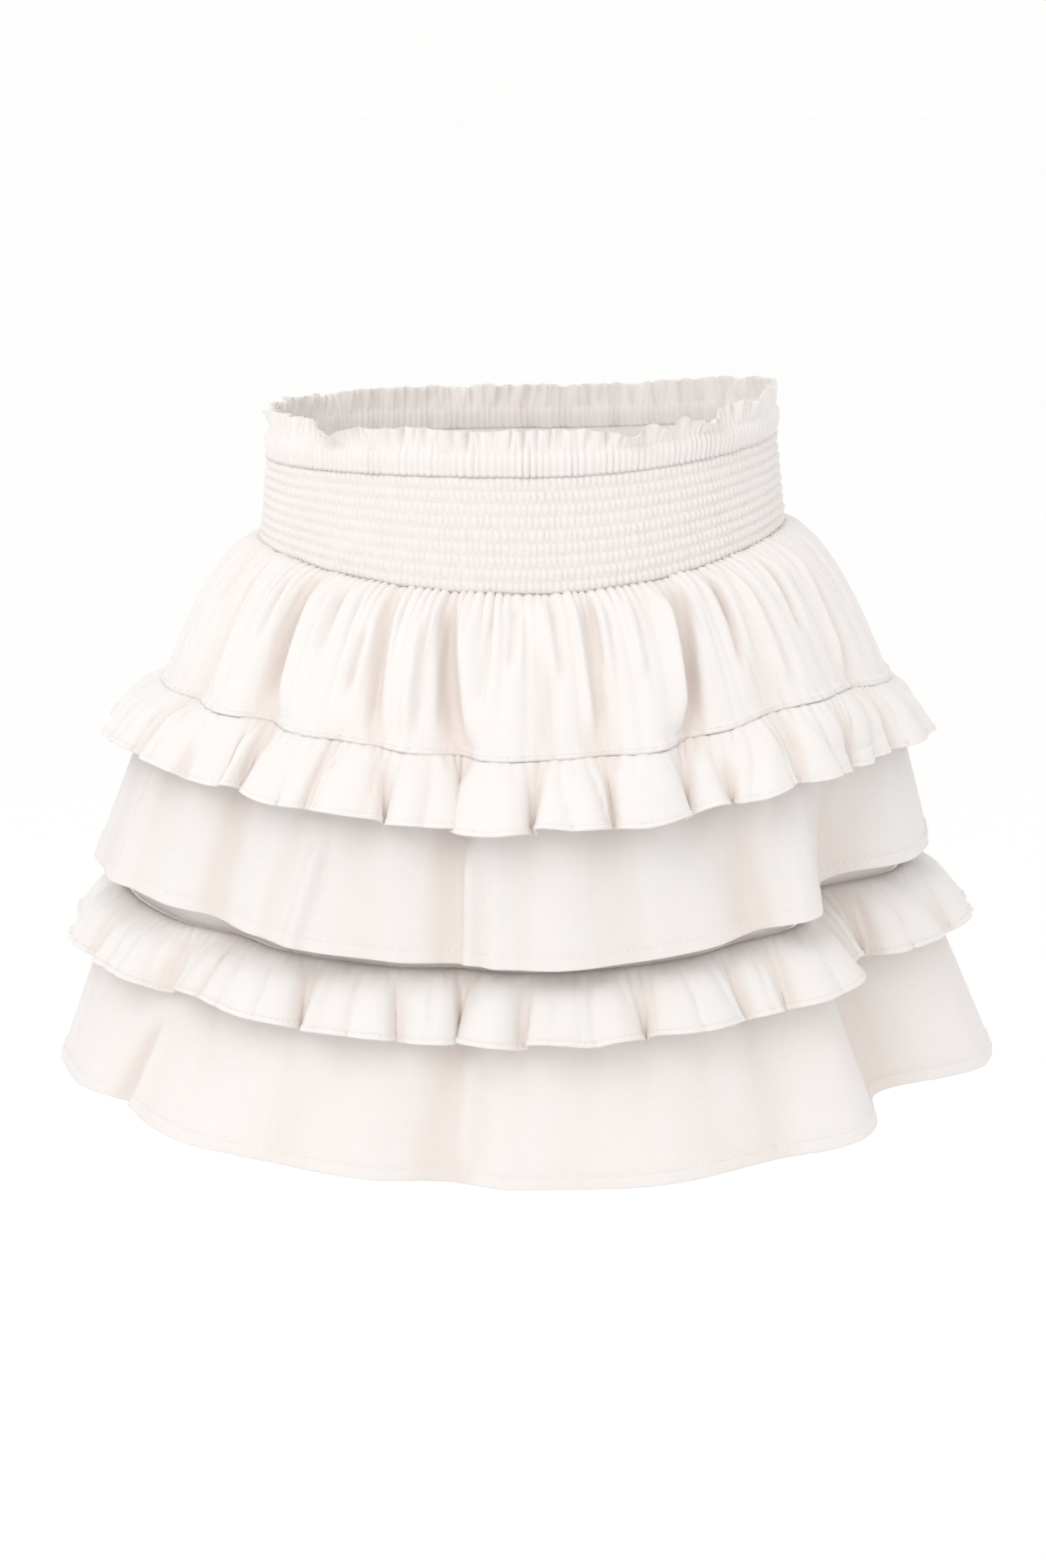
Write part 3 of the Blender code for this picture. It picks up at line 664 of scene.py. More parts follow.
def cloth_material(name, colour, shade, crumple, sheer):
    """Plain-weave cotton, with slubs, soft crumples and painted shade in its folds.

    `crumple` is how strongly it is crumpled and `sheer` the share of light that passes through.
    """
    nodes = Nodes(name)
    uv = nodes.out("ShaderNodeUVMap", {"uv_map": "cloth"})

    def stretched(scale_across, scale_down):
        return nodes.out("ShaderNodeMapping", {}, {"Vector": uv, "Scale": (scale_across, scale_down, 1.0)})

    def noise(vector, scale, detail=2.0):
        return nodes.out("ShaderNodeTexNoise", {}, {"Vector": vector, "Scale": scale, "Detail": detail})

    weft_slubs = noise(stretched(60.0, 900.0), 1.0)
    warp_slubs = noise(stretched(900.0, 60.0), 1.0)
    clouds = noise(stretched(18.0, 18.0), 1.0)
    slubs = (weft_slubs + warp_slubs) * 0.5
    mottle = slubs * 0.55 + clouds * 0.45
    tone = nodes.out("ShaderNodeMapRange", {}, {"Value": mottle, "From Min": 0.3, "From Max": 0.7})
    base = nodes.out(
        "ShaderNodeMix",
        {"data_type": "RGBA"},
        {0: tone, 6: (*shade, 1.0), 7: (*colour, 1.0)},
        output=2,
    )
    # Painted shade: the base colour turns towards the warm fold colour where the fold attribute says the cloth
    # lies deep in a fold.
    fold = nodes.out("ShaderNodeAttribute", {"attribute_name": "fold"}, {}, output=2)
    fold_shaded = nodes.out(
        "ShaderNodeMix",
        {"data_type": "RGBA"},
        {0: fold * PAINTED_FOLD_SHADE_SHARE, 6: base, 7: (*PAINTED_FOLD_SHADE, 1.0)},
        output=2,
    )
    threads_across = nodes.out(
        "ShaderNodeTexWave",
        {"wave_type": "BANDS", "bands_direction": "X"},
        {"Vector": uv, "Scale": WEAVE, "Distortion": 0.6},
    )
    threads_down = nodes.out(
        "ShaderNodeTexWave",
        {"wave_type": "BANDS", "bands_direction": "Y"},
        {"Vector": uv, "Scale": WEAVE, "Distortion": 0.6},
    )
    fine = nodes.out(
        "ShaderNodeBump",
        {},
        {"Height": (threads_across + threads_down) * 0.5 + slubs * 1.2, "Strength": 0.35, "Distance": 0.0001},
    )
    creased = noise(stretched(70.0, 34.0), 1.0, 3.0)
    rumpled = nodes.out(
        "ShaderNodeBump",
        {},
        {"Height": creased, "Strength": crumple, "Distance": 0.0016, "Normal": fine},
    )
    shader = nodes.out(
        "ShaderNodeBsdfPrincipled",
        {},
        {"Base Color": fold_shaded, "Roughness": 0.94, "Specular IOR Level": 0.22, "Sheen Weight": 0.12,
         "Sheen Roughness": 0.6, "Normal": rumpled},
    )
    through = nodes.out("ShaderNodeBsdfTranslucent", {}, {"Color": fold_shaded, "Normal": rumpled})
    mixed = nodes.out("ShaderNodeMixShader", {}, {0: sheer, 1: shader, 2: through})
    nodes.add("ShaderNodeOutputMaterial", {}, {"Surface": mixed})
    return nodes.material


# ---------------------------------------------------------------------------------------------------
# Settings


class SkirtSizes(bpy.types.PropertyGroup):
    """Sizes of the cloth and its details."""
    cloth: bpy.props.FloatProperty(
        name="Cloth", description="Thickness of one layer", default=0.0008, unit="LENGTH")
    hem: bpy.props.FloatProperty(
        name="Hem", description="Width of the turned hems of the tiers", default=0.0075, unit="LENGTH")
    ruffle_hem: bpy.props.FloatProperty(
        name="Ruffle hem", description="Width of the turned hems of the ruffles",
        default=0.0032, unit="LENGTH")
    row_pitch: bpy.props.FloatProperty(
        name="Shirring pitch", description="From one row of elastic to the next",
        default=0.00635, unit="LENGTH")
    rib_pitch: bpy.props.FloatProperty(
        name="Rib pitch", description="From one shirred rib to the next", default=0.0031, unit="LENGTH")
    stitch: bpy.props.FloatProperty(
        name="Stitch", description="From one stitch to the next", default=0.0029, unit="LENGTH")


class SkirtColours(bpy.types.PropertyGroup):
    """Colours of the cloth and thread."""
    cloth: bpy.props.FloatVectorProperty(
        name="Cloth", description="Colour of the voile", subtype="COLOR", default=(0.930, 0.902, 0.884))
    shade: bpy.props.FloatVectorProperty(
        name="Cloth shade", description="Colour of its thicker threads", subtype="COLOR",
        default=(0.905, 0.868, 0.846))
    shirred: bpy.props.FloatVectorProperty(
        name="Shirred cloth", description="Colour of the band", subtype="COLOR", default=(0.905, 0.866, 0.848))
    thread: bpy.props.FloatVectorProperty(
        name="Thread", description="Colour of the stitching", subtype="COLOR", default=(0.930, 0.900, 0.880))


class SkirtStudio(bpy.types.PropertyGroup):
    """The camera, floor and light."""
    distance: bpy.props.FloatProperty(
        name="Distance", description="From the camera to the skirt", default=1.95, unit="LENGTH")
    elevation: bpy.props.FloatProperty(
        name="Elevation", description="How far above the skirt the camera looks from",
        default=math.radians(12.0), subtype="ANGLE")
    lens: bpy.props.FloatProperty(name="Lens", description="Focal length in millimetres", default=88.7)
    floor_drop: bpy.props.FloatProperty(
        name="Floor", description="From the waist down to the floor", default=1.0, unit="LENGTH")
    glow: bpy.props.FloatProperty(name="Glow", description="Strength of the white surroundings", default=1.0)
    key: bpy.props.FloatProperty(name="Key light", description="Power of the large front light", default=11.5)


# ---------------------------------------------------------------------------------------------------
# The waist


CASING_COLUMNS = 1440
HEADING_ROWS = 9
TUNNEL_ROWS = 9
CASING_AROUND = 1.05         # the strip's cut length, all round
CASING_DOWN = 0.024


class Flop(NamedTuple):
    """A place where the heading frill falls outwards. Lengths are in millimetres."""
    turn: float
    reach: float
    out: float
    sink: float


HEADING_FLOPS = (
    Flop(-84.0, 6.0, 4.0, 2.0),
    Flop(-46.0, 9.0, 9.0, 5.5),
    Flop(-33.0, 7.0, 4.5, 1.0),
    Flop(-15.0, 8.0, 3.0, 0.5),
    Flop(17.0, 6.0, 2.0, 1.5),
    Flop(24.0, 6.0, 8.5, 6.0),
    Flop(33.0, 6.0, 6.0, 3.5),
    Flop(44.0, 8.0, 8.0, 4.5),
    Flop(64.0, 9.0, 4.0, 2.0),
    Flop(118.0, 9.0, 2.0, 1.0),
    Flop(151.0, 7.0, 1.5, 0.5),
    Flop(196.0, 8.0, 2.0, 1.0),
    Flop(232.0, 8.0, 2.5, 1.5),
    Flop(256.0, 7.0, 2.0, 1.0),
)


def casing_surface():
    """The heading frill and the elastic tunnel below it, as outer and inner grids."""
    turns = even_turns(CASING_COLUMNS)
    heading = np.linspace(0.0, 1.0, HEADING_ROWS)
    tunnel = np.linspace(0.0, 1.0, TUNNEL_ROWS)[1:]
    upper = level_grid(RIM, CASING_TOP, 1.0, turns, heading)
    lower = level_grid(CASING_TOP, CASING_BOTTOM, 1.0, turns, tunnel)
    grid = np.concatenate([upper, lower])
    above = np.concatenate([1.0 - heading, np.zeros(len(tunnel))])[:, None]
    below = np.concatenate([np.zeros(len(heading)), tunnel])[:, None]
    rows = np.concatenate([heading, np.ones(len(tunnel))])
    frill = gathers(turns, rows, 118, 11, wobble=2.4, drift=2.2, roundness=0.7)
    flutes = gathers(turns, rows, 54, 15, wobble=2.2, drift=1.2, roundness=0.9)
    ribs = gathers(turns, 1.0 - rows + below[:, 0], 235, 21, wobble=2.4, drift=0.8, roundness=0.8)
    out = above ** 0.7 * ((frill - 0.45) * 4.6 + (flutes - 0.5) * 4.4) * MM
    out += (ribs - 0.4) * (1.5 + 0.5 * (below > 0)) * (1.0 - above) ** 0.4 * MM
    sink = np.zeros_like(out)
    for flop in HEADING_FLOPS:
        bump = soft_bump(turn_between(turns[None], flop.turn), flop.reach, flop.reach)
        out += bump * above ** 1.5 * flop.out * MM
        sink += bump * above ** 2 * flop.sink * MM
    sink += above ** 2 * (0.6 + 1.5 * wander(turns, 100, 35))[None] * MM
    side = above * 2.2 * wander(turns, 70, 31)[None] * MM
    normals = level_outward(grid)
    bulge = np.sin(math.pi * below ** 0.75)
    skin = grid + normals * (out + (0.6 + 1.8 * bulge + 1.0 * (below > 0.9)) * MM)[..., None]
    skin += row_directions(grid) * side[..., None]
    skin[..., 2] -= sink
    lining = grid + normals * (out - (0.4 + 0.9 * bulge) * MM)[..., None]
    lining += row_directions(grid) * side[..., None]
    lining[..., 2] -= sink
    return skin, lining


class SKIRT_OT_casing(bpy.types.Operator):
    """The folded waist strip: a frilled heading above an elastic tunnel"""
    bl_idname = "skirt.casing"
    bl_label = "Waist casing"

    def execute(self, context):
        colours = context.scene.skirt_colours
        skin, lining = casing_surface()
        piece = ring_object("waist_casing", skin, lining, CASING_AROUND, CASING_DOWN)
        material = cloth_material("casing_voile", colours.cloth, colours.shade, 0.25, 0.12)
        finish_piece(piece, both_sides("casing"), material)
        return {"FINISHED"}


BAND_COLUMNS = 1800
BAND_STEPS = 4               # rows of points to each row of shirring
BAND_LINING_ROWS = 5
BAND_AROUND = 1.05
BAND_DOWN = 0.050
SEAM_STRIP = 5.5             # degrees of flat cloth at the side seam at -X
SEAM_STRIP_RIGHT = 2.0


def band_surface(sizes):
    turns = even_turns(BAND_COLUMNS)
    row_count = round((CASING_BOTTOM.front_height - BAND_BOTTOM.front_height) / sizes.row_pitch)
    drops = np.linspace(0.0, 1.0, row_count * BAND_STEPS + 1)
    grid = level_grid(CASING_BOTTOM, BAND_BOTTOM, 1.0, turns, drops)
    rows = drops * row_count
    index = np.minimum(rows.astype(int), row_count - 1)
    within = rows - index
    draw = np.random.default_rng(5)
    slants = draw.uniform(0.6, 2.6, row_count)
    starts = draw.uniform(0.0, 2.0 * math.pi, row_count)
    round_length = math.pi * (BAND_BOTTOM.left_half + BAND_BOTTOM.front_half)
    count = round(round_length / sizes.rib_pitch)
    angles = np.radians(turns)[None]
    wobble = np.stack([1.8 * wander(turns, 90, 40 + r) for r in range(row_count)])[index]
    phase = count * angles + wobble + starts[index][:, None] - (slants[index] * (within - 0.5))[:, None]
    ribs = np.abs(np.sin(0.5 * phase)) ** 0.9
    strength = np.stack([0.75 + 0.25 * wander(turns, 60, 60 + r) for r in range(row_count)])[index]
    puff = np.sin(math.pi * within)[:, None] ** 0.7
    strip = turn_between(turns, 270.0)
    smooth = 1.0 - ease(SEAM_STRIP + 1.5 - np.abs(strip), 0.0, 2.0)
    right = np.abs(turn_between(turns, 90.0))
    smooth = smooth * (1.0 - 0.8 * ease(SEAM_STRIP_RIGHT + 1.0 - right, 0.0, 1.5))
    out = puff * (0.15 + 1.75 * ribs * strength) * smooth[None] * MM
    ripple = 0.5 * wander(turns, 14, 81)[None] * np.sin(2.0 * math.pi * drops)[:, None] * MM
    normals = level_outward(grid)
    skin = grid + normals * (out + ripple + 0.2 * MM)[..., None]
    back_rows = np.linspace(0.0, 1.0, BAND_LINING_ROWS)
    back = level_grid(CASING_BOTTOM, BAND_BOTTOM, 1.0, turns, back_rows)
    lining = back - level_outward(back) * 0.9 * MM
    return skin, lining


class SKIRT_OT_band(bpy.types.Operator):
    """The wide band of elastic shirring, row upon row of short slanted ribs"""
    bl_idname = "skirt.band"
    bl_label = "Shirred band"

    def execute(self, context):
        colours = context.scene.skirt_colours
        skin, lining = band_surface(context.scene.skirt_sizes)
        piece = ring_object("shirred_band", skin, lining, BAND_AROUND, BAND_DOWN)
        material = cloth_material("shirred_voile", colours.shirred, colours.shade, 0.10, 0.12)
        finish_piece(piece, both_sides("band"), material)
        return {"FINISHED"}


# ---------------------------------------------------------------------------------------------------
# Yoke, tiers and underlayer


YOKE_COLUMNS = 1080
YOKE_ROWS = 42
YOKE_AROUND = 1.15
YOKE_DOWN = 0.089
SEAM_LIP_DROPS = np.array([0.945, 0.960, 0.975, 0.990, 1.008])   # the raised seam over the ruffle


def yoke_surface():
    turns = even_turns(YOKE_COLUMNS)
    drops = np.linspace(0.0, 1.0, YOKE_ROWS) ** 1.25
    drops = np.concatenate([drops[:-3], SEAM_LIP_DROPS])
    grid = yoke_grid(turns, drops)
    share = drops[:, None]
    fine = gathers(turns, drops, 190, 101, wobble=2.2, drift=5.0)
    middle = gathers(turns, drops, 92, 105, wobble=2.4, drift=3.0)
    broad = gathers(turns, drops, 40, 109, wobble=2.2, drift=2.0, roundness=1.0)
    out = (fine - 0.4) * 2.8 * np.exp(-share / 0.30) * MM
    out += (middle - 0.4) * 4.0 * ease(share, 0.0, 0.18) * np.exp(-share / 0.60) * MM
    out += (broad - 0.4) * 2.6 * ease(share, 0.10, 0.45) * (1.0 - 0.55 * ease(share, 0.8, 1.0)) * MM
    puckers = gathers(turns, drops, 150, 113, wobble=2.2, drift=1.0)
    out += (puckers - 0.4) * 1.0 * ease(share, 0.86, 0.97) * MM
    out += 1.6 * ease(share, 0.945, 0.975) * MM
    out += 2.3 * creases_out(YOKE_CREASES, turns, drops, 0.150)
    return grid + grid_normals(grid) * out[..., None]


class SKIRT_OT_yoke(bpy.types.Operator):
    """The gathered yoke between the band and the first ruffle"""
    bl_idname = "skirt.yoke"
    bl_label = "Yoke"

    def execute(self, context):
        colours = context.scene.skirt_colours
        half = 0.5 * context.scene.skirt_sizes.cloth
        piece = shell_object("yoke", yoke_surface(), half, half, YOKE_AROUND, YOKE_DOWN)
        material = cloth_material("yoke_voile", colours.cloth, colours.shade, 0.45, 0.12)
        finish_piece(piece, both_sides("yoke"), material)
        return {"FINISHED"}


TIER_COLUMNS = 900
TIER_ROWS = 34
UNDERLAYER_AROUND = 1.14
UNDERLAYER_DOWN = 0.101
UNDERLAYER_INSIDE = 0.0017   # from the tiers' surface in to the underlayer's


class Tier(NamedTuple):
    """A tier: its surface and creases, its usual distance from the centre line, and its flat cut."""
    name: str
    grid_of: Callable
    creases: tuple
    radius: float
    around: float
    down: float
    seed: int


TIERS = (
    Tier("middle_tier", middle_grid, MIDDLE_CREASES, 0.185, 1.26, 0.095, 201),
    Tier("bottom_tier", bottom_grid, BOTTOM_CREASES, 0.205, 1.38, 0.103, 231),
)


def tier_rows(down, hem):
    """Drops down a tier, close together at its hem so that the turned edge shows."""
    plain = np.linspace(0.0, 1.0 - 1.25 * hem / down, TIER_ROWS - 7)
    edge = 1.0 - hem / down * np.array([1.08, 0.96, 0.80, 0.50, 0.22, 0.08, 0.0])
    return np.concatenate([plain, edge])


def tier_surface(tier, hem):
    """A tier's surface, and how far its turned hem stands out from it."""
    down, seed = tier.down, tier.seed
    turns = even_turns(TIER_COLUMNS)
    drops = tier_rows(down, hem)
    grid = tier.grid_of(turns, drops)
    share = drops[:, None]
    fine = gathers(turns, drops, 130, seed, wobble=2.2, drift=4.0)
    soft = gathers(turns, drops, 46, seed + 4, wobble=2.4, drift=2.5, roundness=1.2)
    swell = gathers(turns, drops, 24, seed + 8, wobble=2.0, drift=1.5, roundness=1.4)
    out = (fine - 0.4) * 0.9 * np.exp(-share / 0.16) * MM
    out += (soft - 0.4) * 1.5 * ease(share, 0.0, 0.25) * (1.0 - 0.6 * share) * MM
    out += (swell - 0.4) * 1.6 * ease(share, 0.2, 0.8) * MM
    out += 2.1 * creases_out(tier.creases, turns, drops, tier.radius)
    hem_share = ease(share, 1.0 - 1.02 * hem / down, 1.0 - 0.90 * hem / down)
    pull = wander(turns, 240, seed + 12)[None] * hem_share * 0.25 * MM
    surface = grid + grid_normals(grid) * (out + pull)[..., None]
    return surface, 0.5 * hem_share * MM


class SKIRT_OT_tiers(bpy.types.Operator):
    """The middle and bottom tiers with their turned hems, and the plain layer that carries the lower one"""
    bl_idname = "skirt.tiers"
    bl_label = "Tiers"

    def execute(self, context):
        colours = context.scene.skirt_colours
        sizes = context.scene.skirt_sizes
        half = 0.5 * sizes.cloth
        voile = cloth_material("tier_voile", colours.cloth, colours.shade, 0.32, 0.16)
        for tier in TIERS:
            surface, hem = tier_surface(tier, sizes.hem)
            piece = shell_object(tier.name, surface, half + hem, half, tier.around, tier.down)
            finish_piece(piece, both_sides(tier.name), voile)
        turns = even_turns(360)
        drops = np.linspace(0.0, 1.0, 12)
        grid = underlayer_grid(turns, drops)
        grid -= level_outward(grid) * UNDERLAYER_INSIDE
        piece = shell_object("underlayer", grid, half, half, UNDERLAYER_AROUND, UNDERLAYER_DOWN)
        lawn = cloth_material("underlayer_lawn", colours.shirred, colours.shade, 0.2, 0.2)
        finish_piece(piece, both_sides("underlayer"), lawn)
        return {"FINISHED"}


# ---------------------------------------------------------------------------------------------------
# Ruffles


RUFFLE_COLUMNS = 1260
RUFFLE_ROWS = 22
RUFFLE_DOWN = 0.038          # how far down the ruffles' rows and hems are spaced
LAP_SCALE = 2.7              # from a pinch's laps to how far the hem slides


class Ruffle(NamedTuple):
    """A ruffle: the tier beneath, the share of it covered, its pinches, and its flat cut."""
    name: str
    tier_grid: Callable
    share: float
    pinches: tuple
    around: float
    down: float
    seed: int


RUFFLES = (
    Ruffle("upper_ruffle", middle_grid, UPPER_RUFFLE_SHARE, UPPER_PINCHES, 1.75, 0.038, 301),
    Ruffle("lower_ruffle", bottom_grid, LOWER_RUFFLE_SHARE, LOWER_PINCHES, 1.95, 0.040, 331),
)


def pinch_fields(pinches, turns, down):
    """How high the lobes stand, how far points slide along the ruffle, and how far the hem curls up."""
    height = np.ones((len(down), len(turns)))
    slide = np.zeros_like(height)
    curl = np.zeros_like(height)
    for pinch in pinches:
        away = turn_between(turns, pinch.turn)
        bump = soft_bump(away, pinch.left, pinch.right)
        height -= pinch.back * bump[None]
        before = soft_bump(away + 0.55 * pinch.left, 0.6 * pinch.left, 0.6 * pinch.left)
        after = soft_bump(away - 0.55 * pinch.right, 0.6 * pinch.right, 0.6 * pinch.right)
        slide += (pinch.lap_left * before - pinch.lap_right * after)[None] * MM
        stronger = after if pinch.lap_right > pinch.lap_left else before
        curl += pinch.curl * stronger[None] * MM
    return np.maximum(height, 0.0), slide, curl


def ruffle_surface(ruffle, hem):
    """A gathered strip: the points of the tier beneath, moved out, and how far its hem stands out."""
    seed = ruffle.seed
    turns = even_turns(RUFFLE_COLUMNS)
    plain = np.linspace(0.0, 1.0 - 1.2 * hem / RUFFLE_DOWN, RUFFLE_ROWS - 5)
    edge = 1.0 - hem / RUFFLE_DOWN * np.array([1.0, 0.8, 0.4, 0.15, 0.0])
    drops = np.concatenate([plain, edge])
    down = drops[:, None]
    tier = ruffle.tier_grid(turns, drops * ruffle.share)
    ways = grid_normals(tier)
    height, slide, curl = pinch_fields(ruffle.pinches, turns, drops)
    fine = gathers(turns, drops, 200, seed, wobble=2.3, drift=4.0)
    middle = gathers(turns, drops, 84, seed + 4, wobble=2.3, drift=2.5, roundness=0.65)
    flutes = gathers(turns, drops, 46, seed + 14, wobble=2.2, drift=1.0, roundness=0.7)
    flare = down ** 0.85
    out = SEAT * (0.4 + 0.6 * ease(down, 0.0, 0.1)) + (RUFFLE_REST + 0.5 * MM) * ease(down, 0.0, 0.5)
    out = out + RUFFLE_FLARE * height * flare * (1.0 + 0.16 * wander(turns, 40, seed + 9)[None])
    out += fine * 2.6 * ease(down, 0.0, 0.06) * np.exp(-down / 0.25) * MM
    out += (middle - 0.15) * 4.6 * ease(down, 0.02, 0.40) * (0.35 + 0.65 * np.minimum(height, 1.0)) * MM
    out += (flutes - 0.3) * 3.6 * ease(down, 0.10, 1.0) * MM
    surface = tier + ways * out[..., None]
    surface += row_directions(tier) * (LAP_SCALE * slide * flare)[..., None]
    surface[..., 2] += (curl + 1.3 * wander(turns, 60, seed + 20)[None] * MM) * down ** 3
    hem_share = ease(down, 1.0 - 1.0 * hem / RUFFLE_DOWN, 1.0 - 0.8 * hem / RUFFLE_DOWN)
    return surface, 0.35 * hem_share * MM


class SKIRT_OT_ruffles(bpy.types.Operator):
    """The two gathered ruffles, set in the seams above the middle and bottom tiers"""
    bl_idname = "skirt.ruffles"
    bl_label = "Ruffles"

    def execute(self, context):
        colours = context.scene.skirt_colours
        sizes = context.scene.skirt_sizes
        half = 0.5 * sizes.cloth
        voile = cloth_material("ruffle_voile", colours.cloth, colours.shade, 0.60, 0.12)
        for ruffle in RUFFLES:
            surface, hem = ruffle_surface(ruffle, sizes.ruffle_hem)
            piece = shell_object(ruffle.name, surface, half + hem, half, ruffle.around, ruffle.down)
            finish_piece(piece, both_sides(ruffle.name), voile)
        return {"FINISHED"}


# ---------------------------------------------------------------------------------------------------
# Stitching


STITCH_WIDTH = 0.40          # in millimetres
STITCH_SHARE = 0.72          # of the way from one stitch to the next
THREAD_LIFT = 0.0001         # of the thread between the rows of shirring
TIER_HEM_ROW = -5            # rows of points that carry the stitches, counted up from the lower edge
RUFFLE_HEM_ROW = -4
SEAM_ROW = -3


def stitch_row(line, ways, pitch):
    """Corners of small blocks, one to each stitch, along a closed line on the cloth."""
    closed = np.concatenate([line, line[:1]])
    outward = np.concatenate([ways, ways[:1]])
    lengths = np.linalg.norm(np.diff(closed, axis=0), axis=1)
    along = np.concatenate([[0.0], np.cumsum(lengths)])
    count = int(along[-1] / pitch)
    middles = (np.arange(count) + 0.5) * along[-1] / count
    half = 0.5 * STITCH_SHARE * pitch

    def sample(values, places):
        return np.stack([np.interp(places, along, values[:, axis]) for axis in range(3)], axis=-1)

    up = sample(outward, middles)
    side = np.cross(sample(closed, middles + half) - sample(closed, middles - half), up)
    side /= np.maximum(np.linalg.norm(side, axis=-1, keepdims=True), 1e-12)
    width = 0.5 * STITCH_WIDTH * MM
    corners = []
    for lift in (-0.5 * width, 0.9 * width):
        for end, across in ((-half, -1), (half, -1), (half, 1), (-half, 1)):
            corners.append(sample(closed, middles + end) + side * width * across + up * lift)
    return np.stack(corners, axis=1)


BLOCK_FACES = np.array(
    ((0, 3, 2, 1), (4, 5, 6, 7), (0, 1, 5, 4), (1, 2, 6, 5), (2, 3, 7, 6), (3, 0, 4, 7)))


class SKIRT_OT_stitching(bpy.types.Operator):
    """Rows of stitches at the hems, at the first seam and along the shirring"""
    bl_idname = "skirt.stitching"
    bl_label = "Stitching"

    def execute(self, context):
        sizes = context.scene.skirt_sizes
        half = 0.5 * sizes.cloth
        lines = []

        def stitch(surface, row, lift):
            ways = grid_normals(surface)
            lines.append(stitch_row(surface[row] + ways[row] * lift, ways[row], sizes.stitch))

        for tier in TIERS:
            surface, hem = tier_surface(tier, sizes.hem)
            stitch(surface, TIER_HEM_ROW, half + hem.max())
        for ruffle in RUFFLES:
            surface, hem = ruffle_surface(ruffle, sizes.ruffle_hem)
            stitch(surface, RUFFLE_HEM_ROW, half + hem.max())
        stitch(yoke_surface(), SEAM_ROW, half)
        band, _ = band_surface(sizes)
        for row in range(BAND_STEPS, len(band) - BAND_STEPS, BAND_STEPS):
            stitch(band, row, THREAD_LIFT)
        blocks = np.concatenate(lines)
        mesh = bpy.data.meshes.new("stitching")
        faces = (BLOCK_FACES[None] + 8 * np.arange(len(blocks))[:, None, None]).reshape(-1, 4)
        mesh.from_pydata(blocks.reshape(-1, 3).tolist(), [], faces.tolist())
        mesh.shade_smooth()
        piece = bpy.data.objects.new("stitching", mesh)
        context.scene.collection.objects.link(piece)
        nodes = Nodes("thread")
        colour = (*context.scene.skirt_colours.thread, 1.0)
        shader = nodes.out("ShaderNodeBsdfPrincipled", {}, {"Base Color": colour, "Roughness": 0.8})
        nodes.add("ShaderNodeOutputMaterial", {}, {"Surface": shader})
        piece.data.materials.append(nodes.material)
        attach(piece, BODY)
        return {"FINISHED"}


# ---------------------------------------------------------------------------------------------------
# Studio


AIM_DROP = 0.024             # the camera looks this far below the middle of the skirt
LIGHT_PLACE = Vector((-0.9, -1.5, 1.5))
LIGHT_SIZE = 1.4
FLOOR_SIZE = 60.0


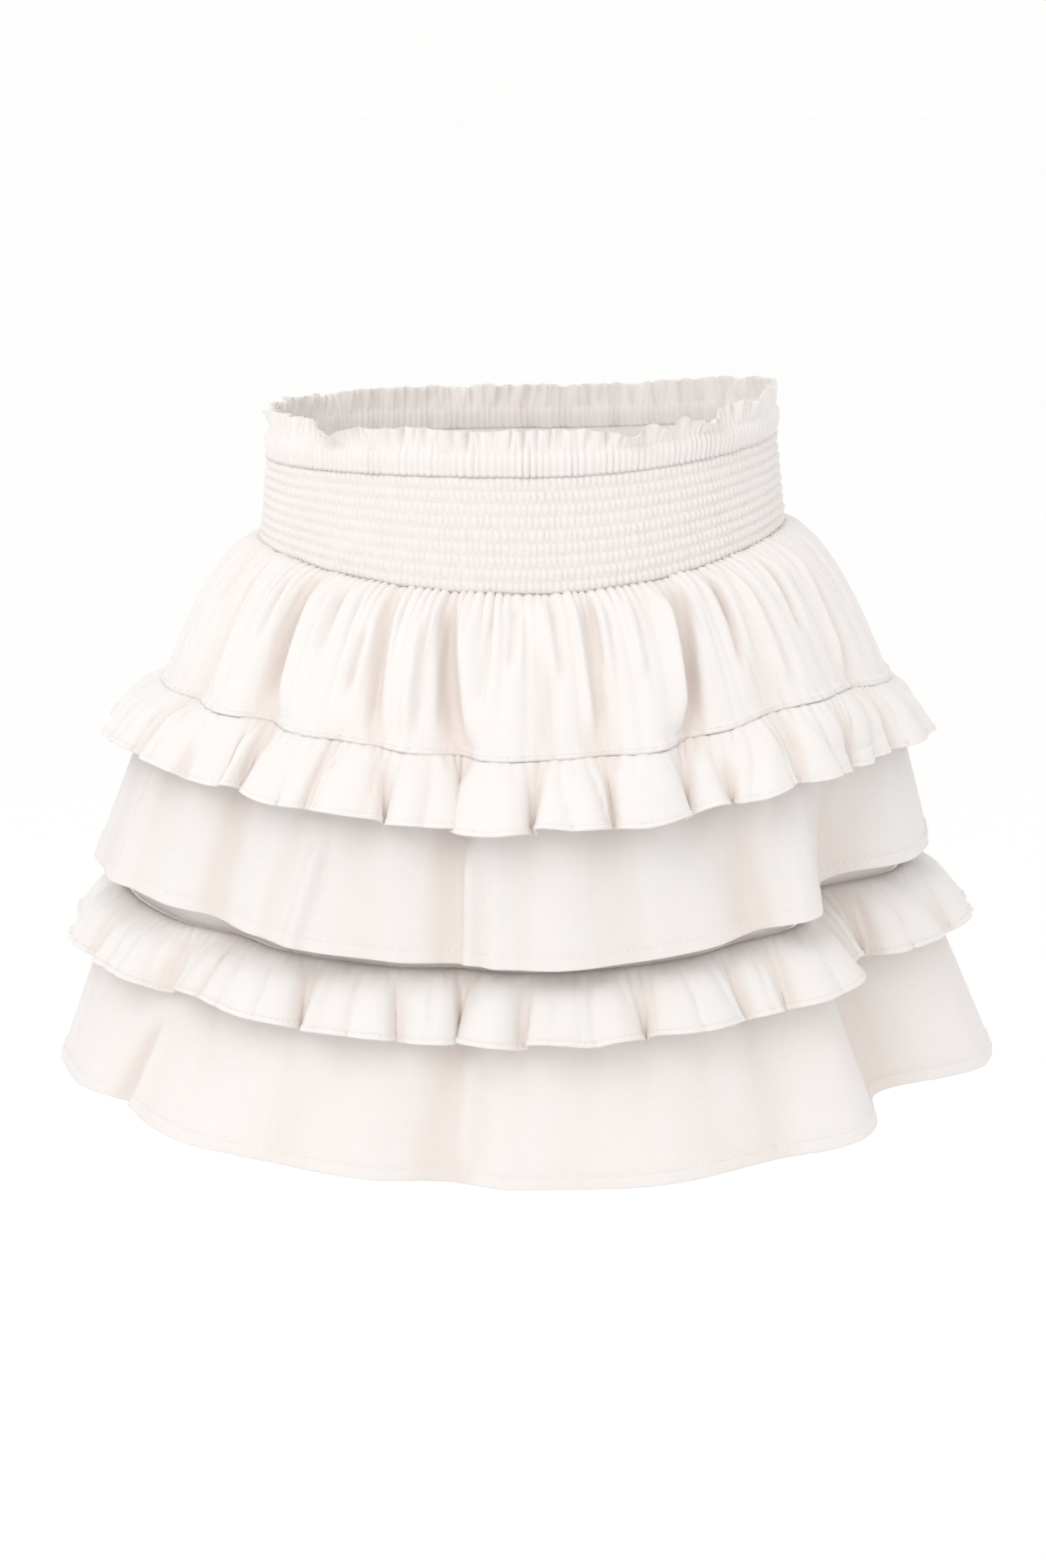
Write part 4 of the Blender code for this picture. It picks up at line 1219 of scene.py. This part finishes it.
class SKIRT_OT_stage(bpy.types.Operator):
    """The pale floor, the soft light and the camera"""
    bl_idname = "skirt.stage"
    bl_label = "Studio"

    def execute(self, context):
        studio = context.scene.skirt_studio
        middle = Vector((0.0, 0.0, 0.5 * (CAD_BOX[0][2] + CAD_BOX[1][2]) - AIM_DROP))
        self.add_floor(studio)
        self.add_lights(studio, middle)
        self.add_camera(context, studio, middle)
        return {"FINISHED"}

    def add_floor(self, studio):
        bpy.ops.object.select_all(action="DESELECT")
        bpy.ops.mesh.primitive_plane_add(size=FLOOR_SIZE, location=(0.0, 0.0, -studio.floor_drop))
        floor = bpy.context.active_object
        floor.name = "floor"
        nodes = Nodes("floor_white")
        white = (0.99, 0.99, 0.99, 1.0)
        shader = nodes.out("ShaderNodeBsdfPrincipled", {}, {"Base Color": white, "Roughness": 0.9})
        nodes.add("ShaderNodeOutputMaterial", {}, {"Surface": shader})
        floor.data.materials.append(nodes.material)

    def add_lights(self, studio, middle):
        world = bpy.data.worlds.new("studio_white")
        world.use_nodes = True
        surround = world.node_tree.nodes["Background"]
        surround.inputs["Color"].default_value = (1.0, 0.995, 0.99, 1.0)
        surround.inputs["Strength"].default_value = studio.glow
        bpy.context.scene.world = world
        bpy.ops.object.light_add(type="AREA", location=middle + LIGHT_PLACE)
        key = bpy.context.active_object
        key.name = "front_light"
        key.data.energy = studio.key
        key.data.shape = "RECTANGLE"
        key.data.size = LIGHT_SIZE
        key.data.size_y = LIGHT_SIZE
        key.rotation_euler = (middle - key.location).to_track_quat("-Z", "Y").to_euler()

    def add_camera(self, context, studio, middle):
        back = Vector((0.0, -math.cos(studio.elevation), math.sin(studio.elevation)))
        bpy.ops.object.camera_add(location=middle + back * studio.distance)
        camera = bpy.context.active_object
        camera.name = "camera"
        camera.rotation_euler = (-back).to_track_quat("-Z", "Y").to_euler()
        camera.data.lens = studio.lens
        camera.data.sensor_width = 36.0
        camera.data.clip_end = 200.0
        context.scene.camera = camera
        context.scene.view_settings.view_transform = "Standard"


class SKIRT_PT_panel(bpy.types.Panel):
    """Lists the skirt's pieces and settings"""
    bl_idname = "SKIRT_PT_panel"
    bl_label = "Tiered skirt"
    bl_space_type = "VIEW_3D"
    bl_region_type = "UI"
    bl_category = "Skirt"

    def draw(self, context):
        for settings in (context.scene.skirt_sizes, context.scene.skirt_colours, context.scene.skirt_studio):
            box = self.layout.box()
            for key in settings.bl_rna.properties.keys():
                if key not in ("rna_type", "name"):
                    box.prop(settings, key)
        for operator in OPERATORS:
            self.layout.operator(operator.bl_idname)


OPERATORS = (
    SKIRT_OT_casing,
    SKIRT_OT_band,
    SKIRT_OT_yoke,
    SKIRT_OT_tiers,
    SKIRT_OT_ruffles,
    SKIRT_OT_stitching,
    SKIRT_OT_stage,
)
CLASSES = (SkirtSizes, SkirtColours, SkirtStudio, *OPERATORS, SKIRT_PT_panel)


def register():
    for cls in CLASSES:
        bpy.utils.register_class(cls)
    bpy.types.Scene.skirt_sizes = bpy.props.PointerProperty(type=SkirtSizes)
    bpy.types.Scene.skirt_colours = bpy.props.PointerProperty(type=SkirtColours)
    bpy.types.Scene.skirt_studio = bpy.props.PointerProperty(type=SkirtStudio)


def unregister():
    del bpy.types.Scene.skirt_studio
    del bpy.types.Scene.skirt_colours
    del bpy.types.Scene.skirt_sizes
    for cls in reversed(CLASSES):
        bpy.utils.unregister_class(cls)


def main():
    register()
    bpy.ops.skirt.casing()
    bpy.ops.skirt.band()
    bpy.ops.skirt.yoke()
    bpy.ops.skirt.tiers()
    bpy.ops.skirt.ruffles()
    bpy.ops.skirt.stitching()
    bpy.ops.skirt.stage()


if __name__ == "__main__":
    main()
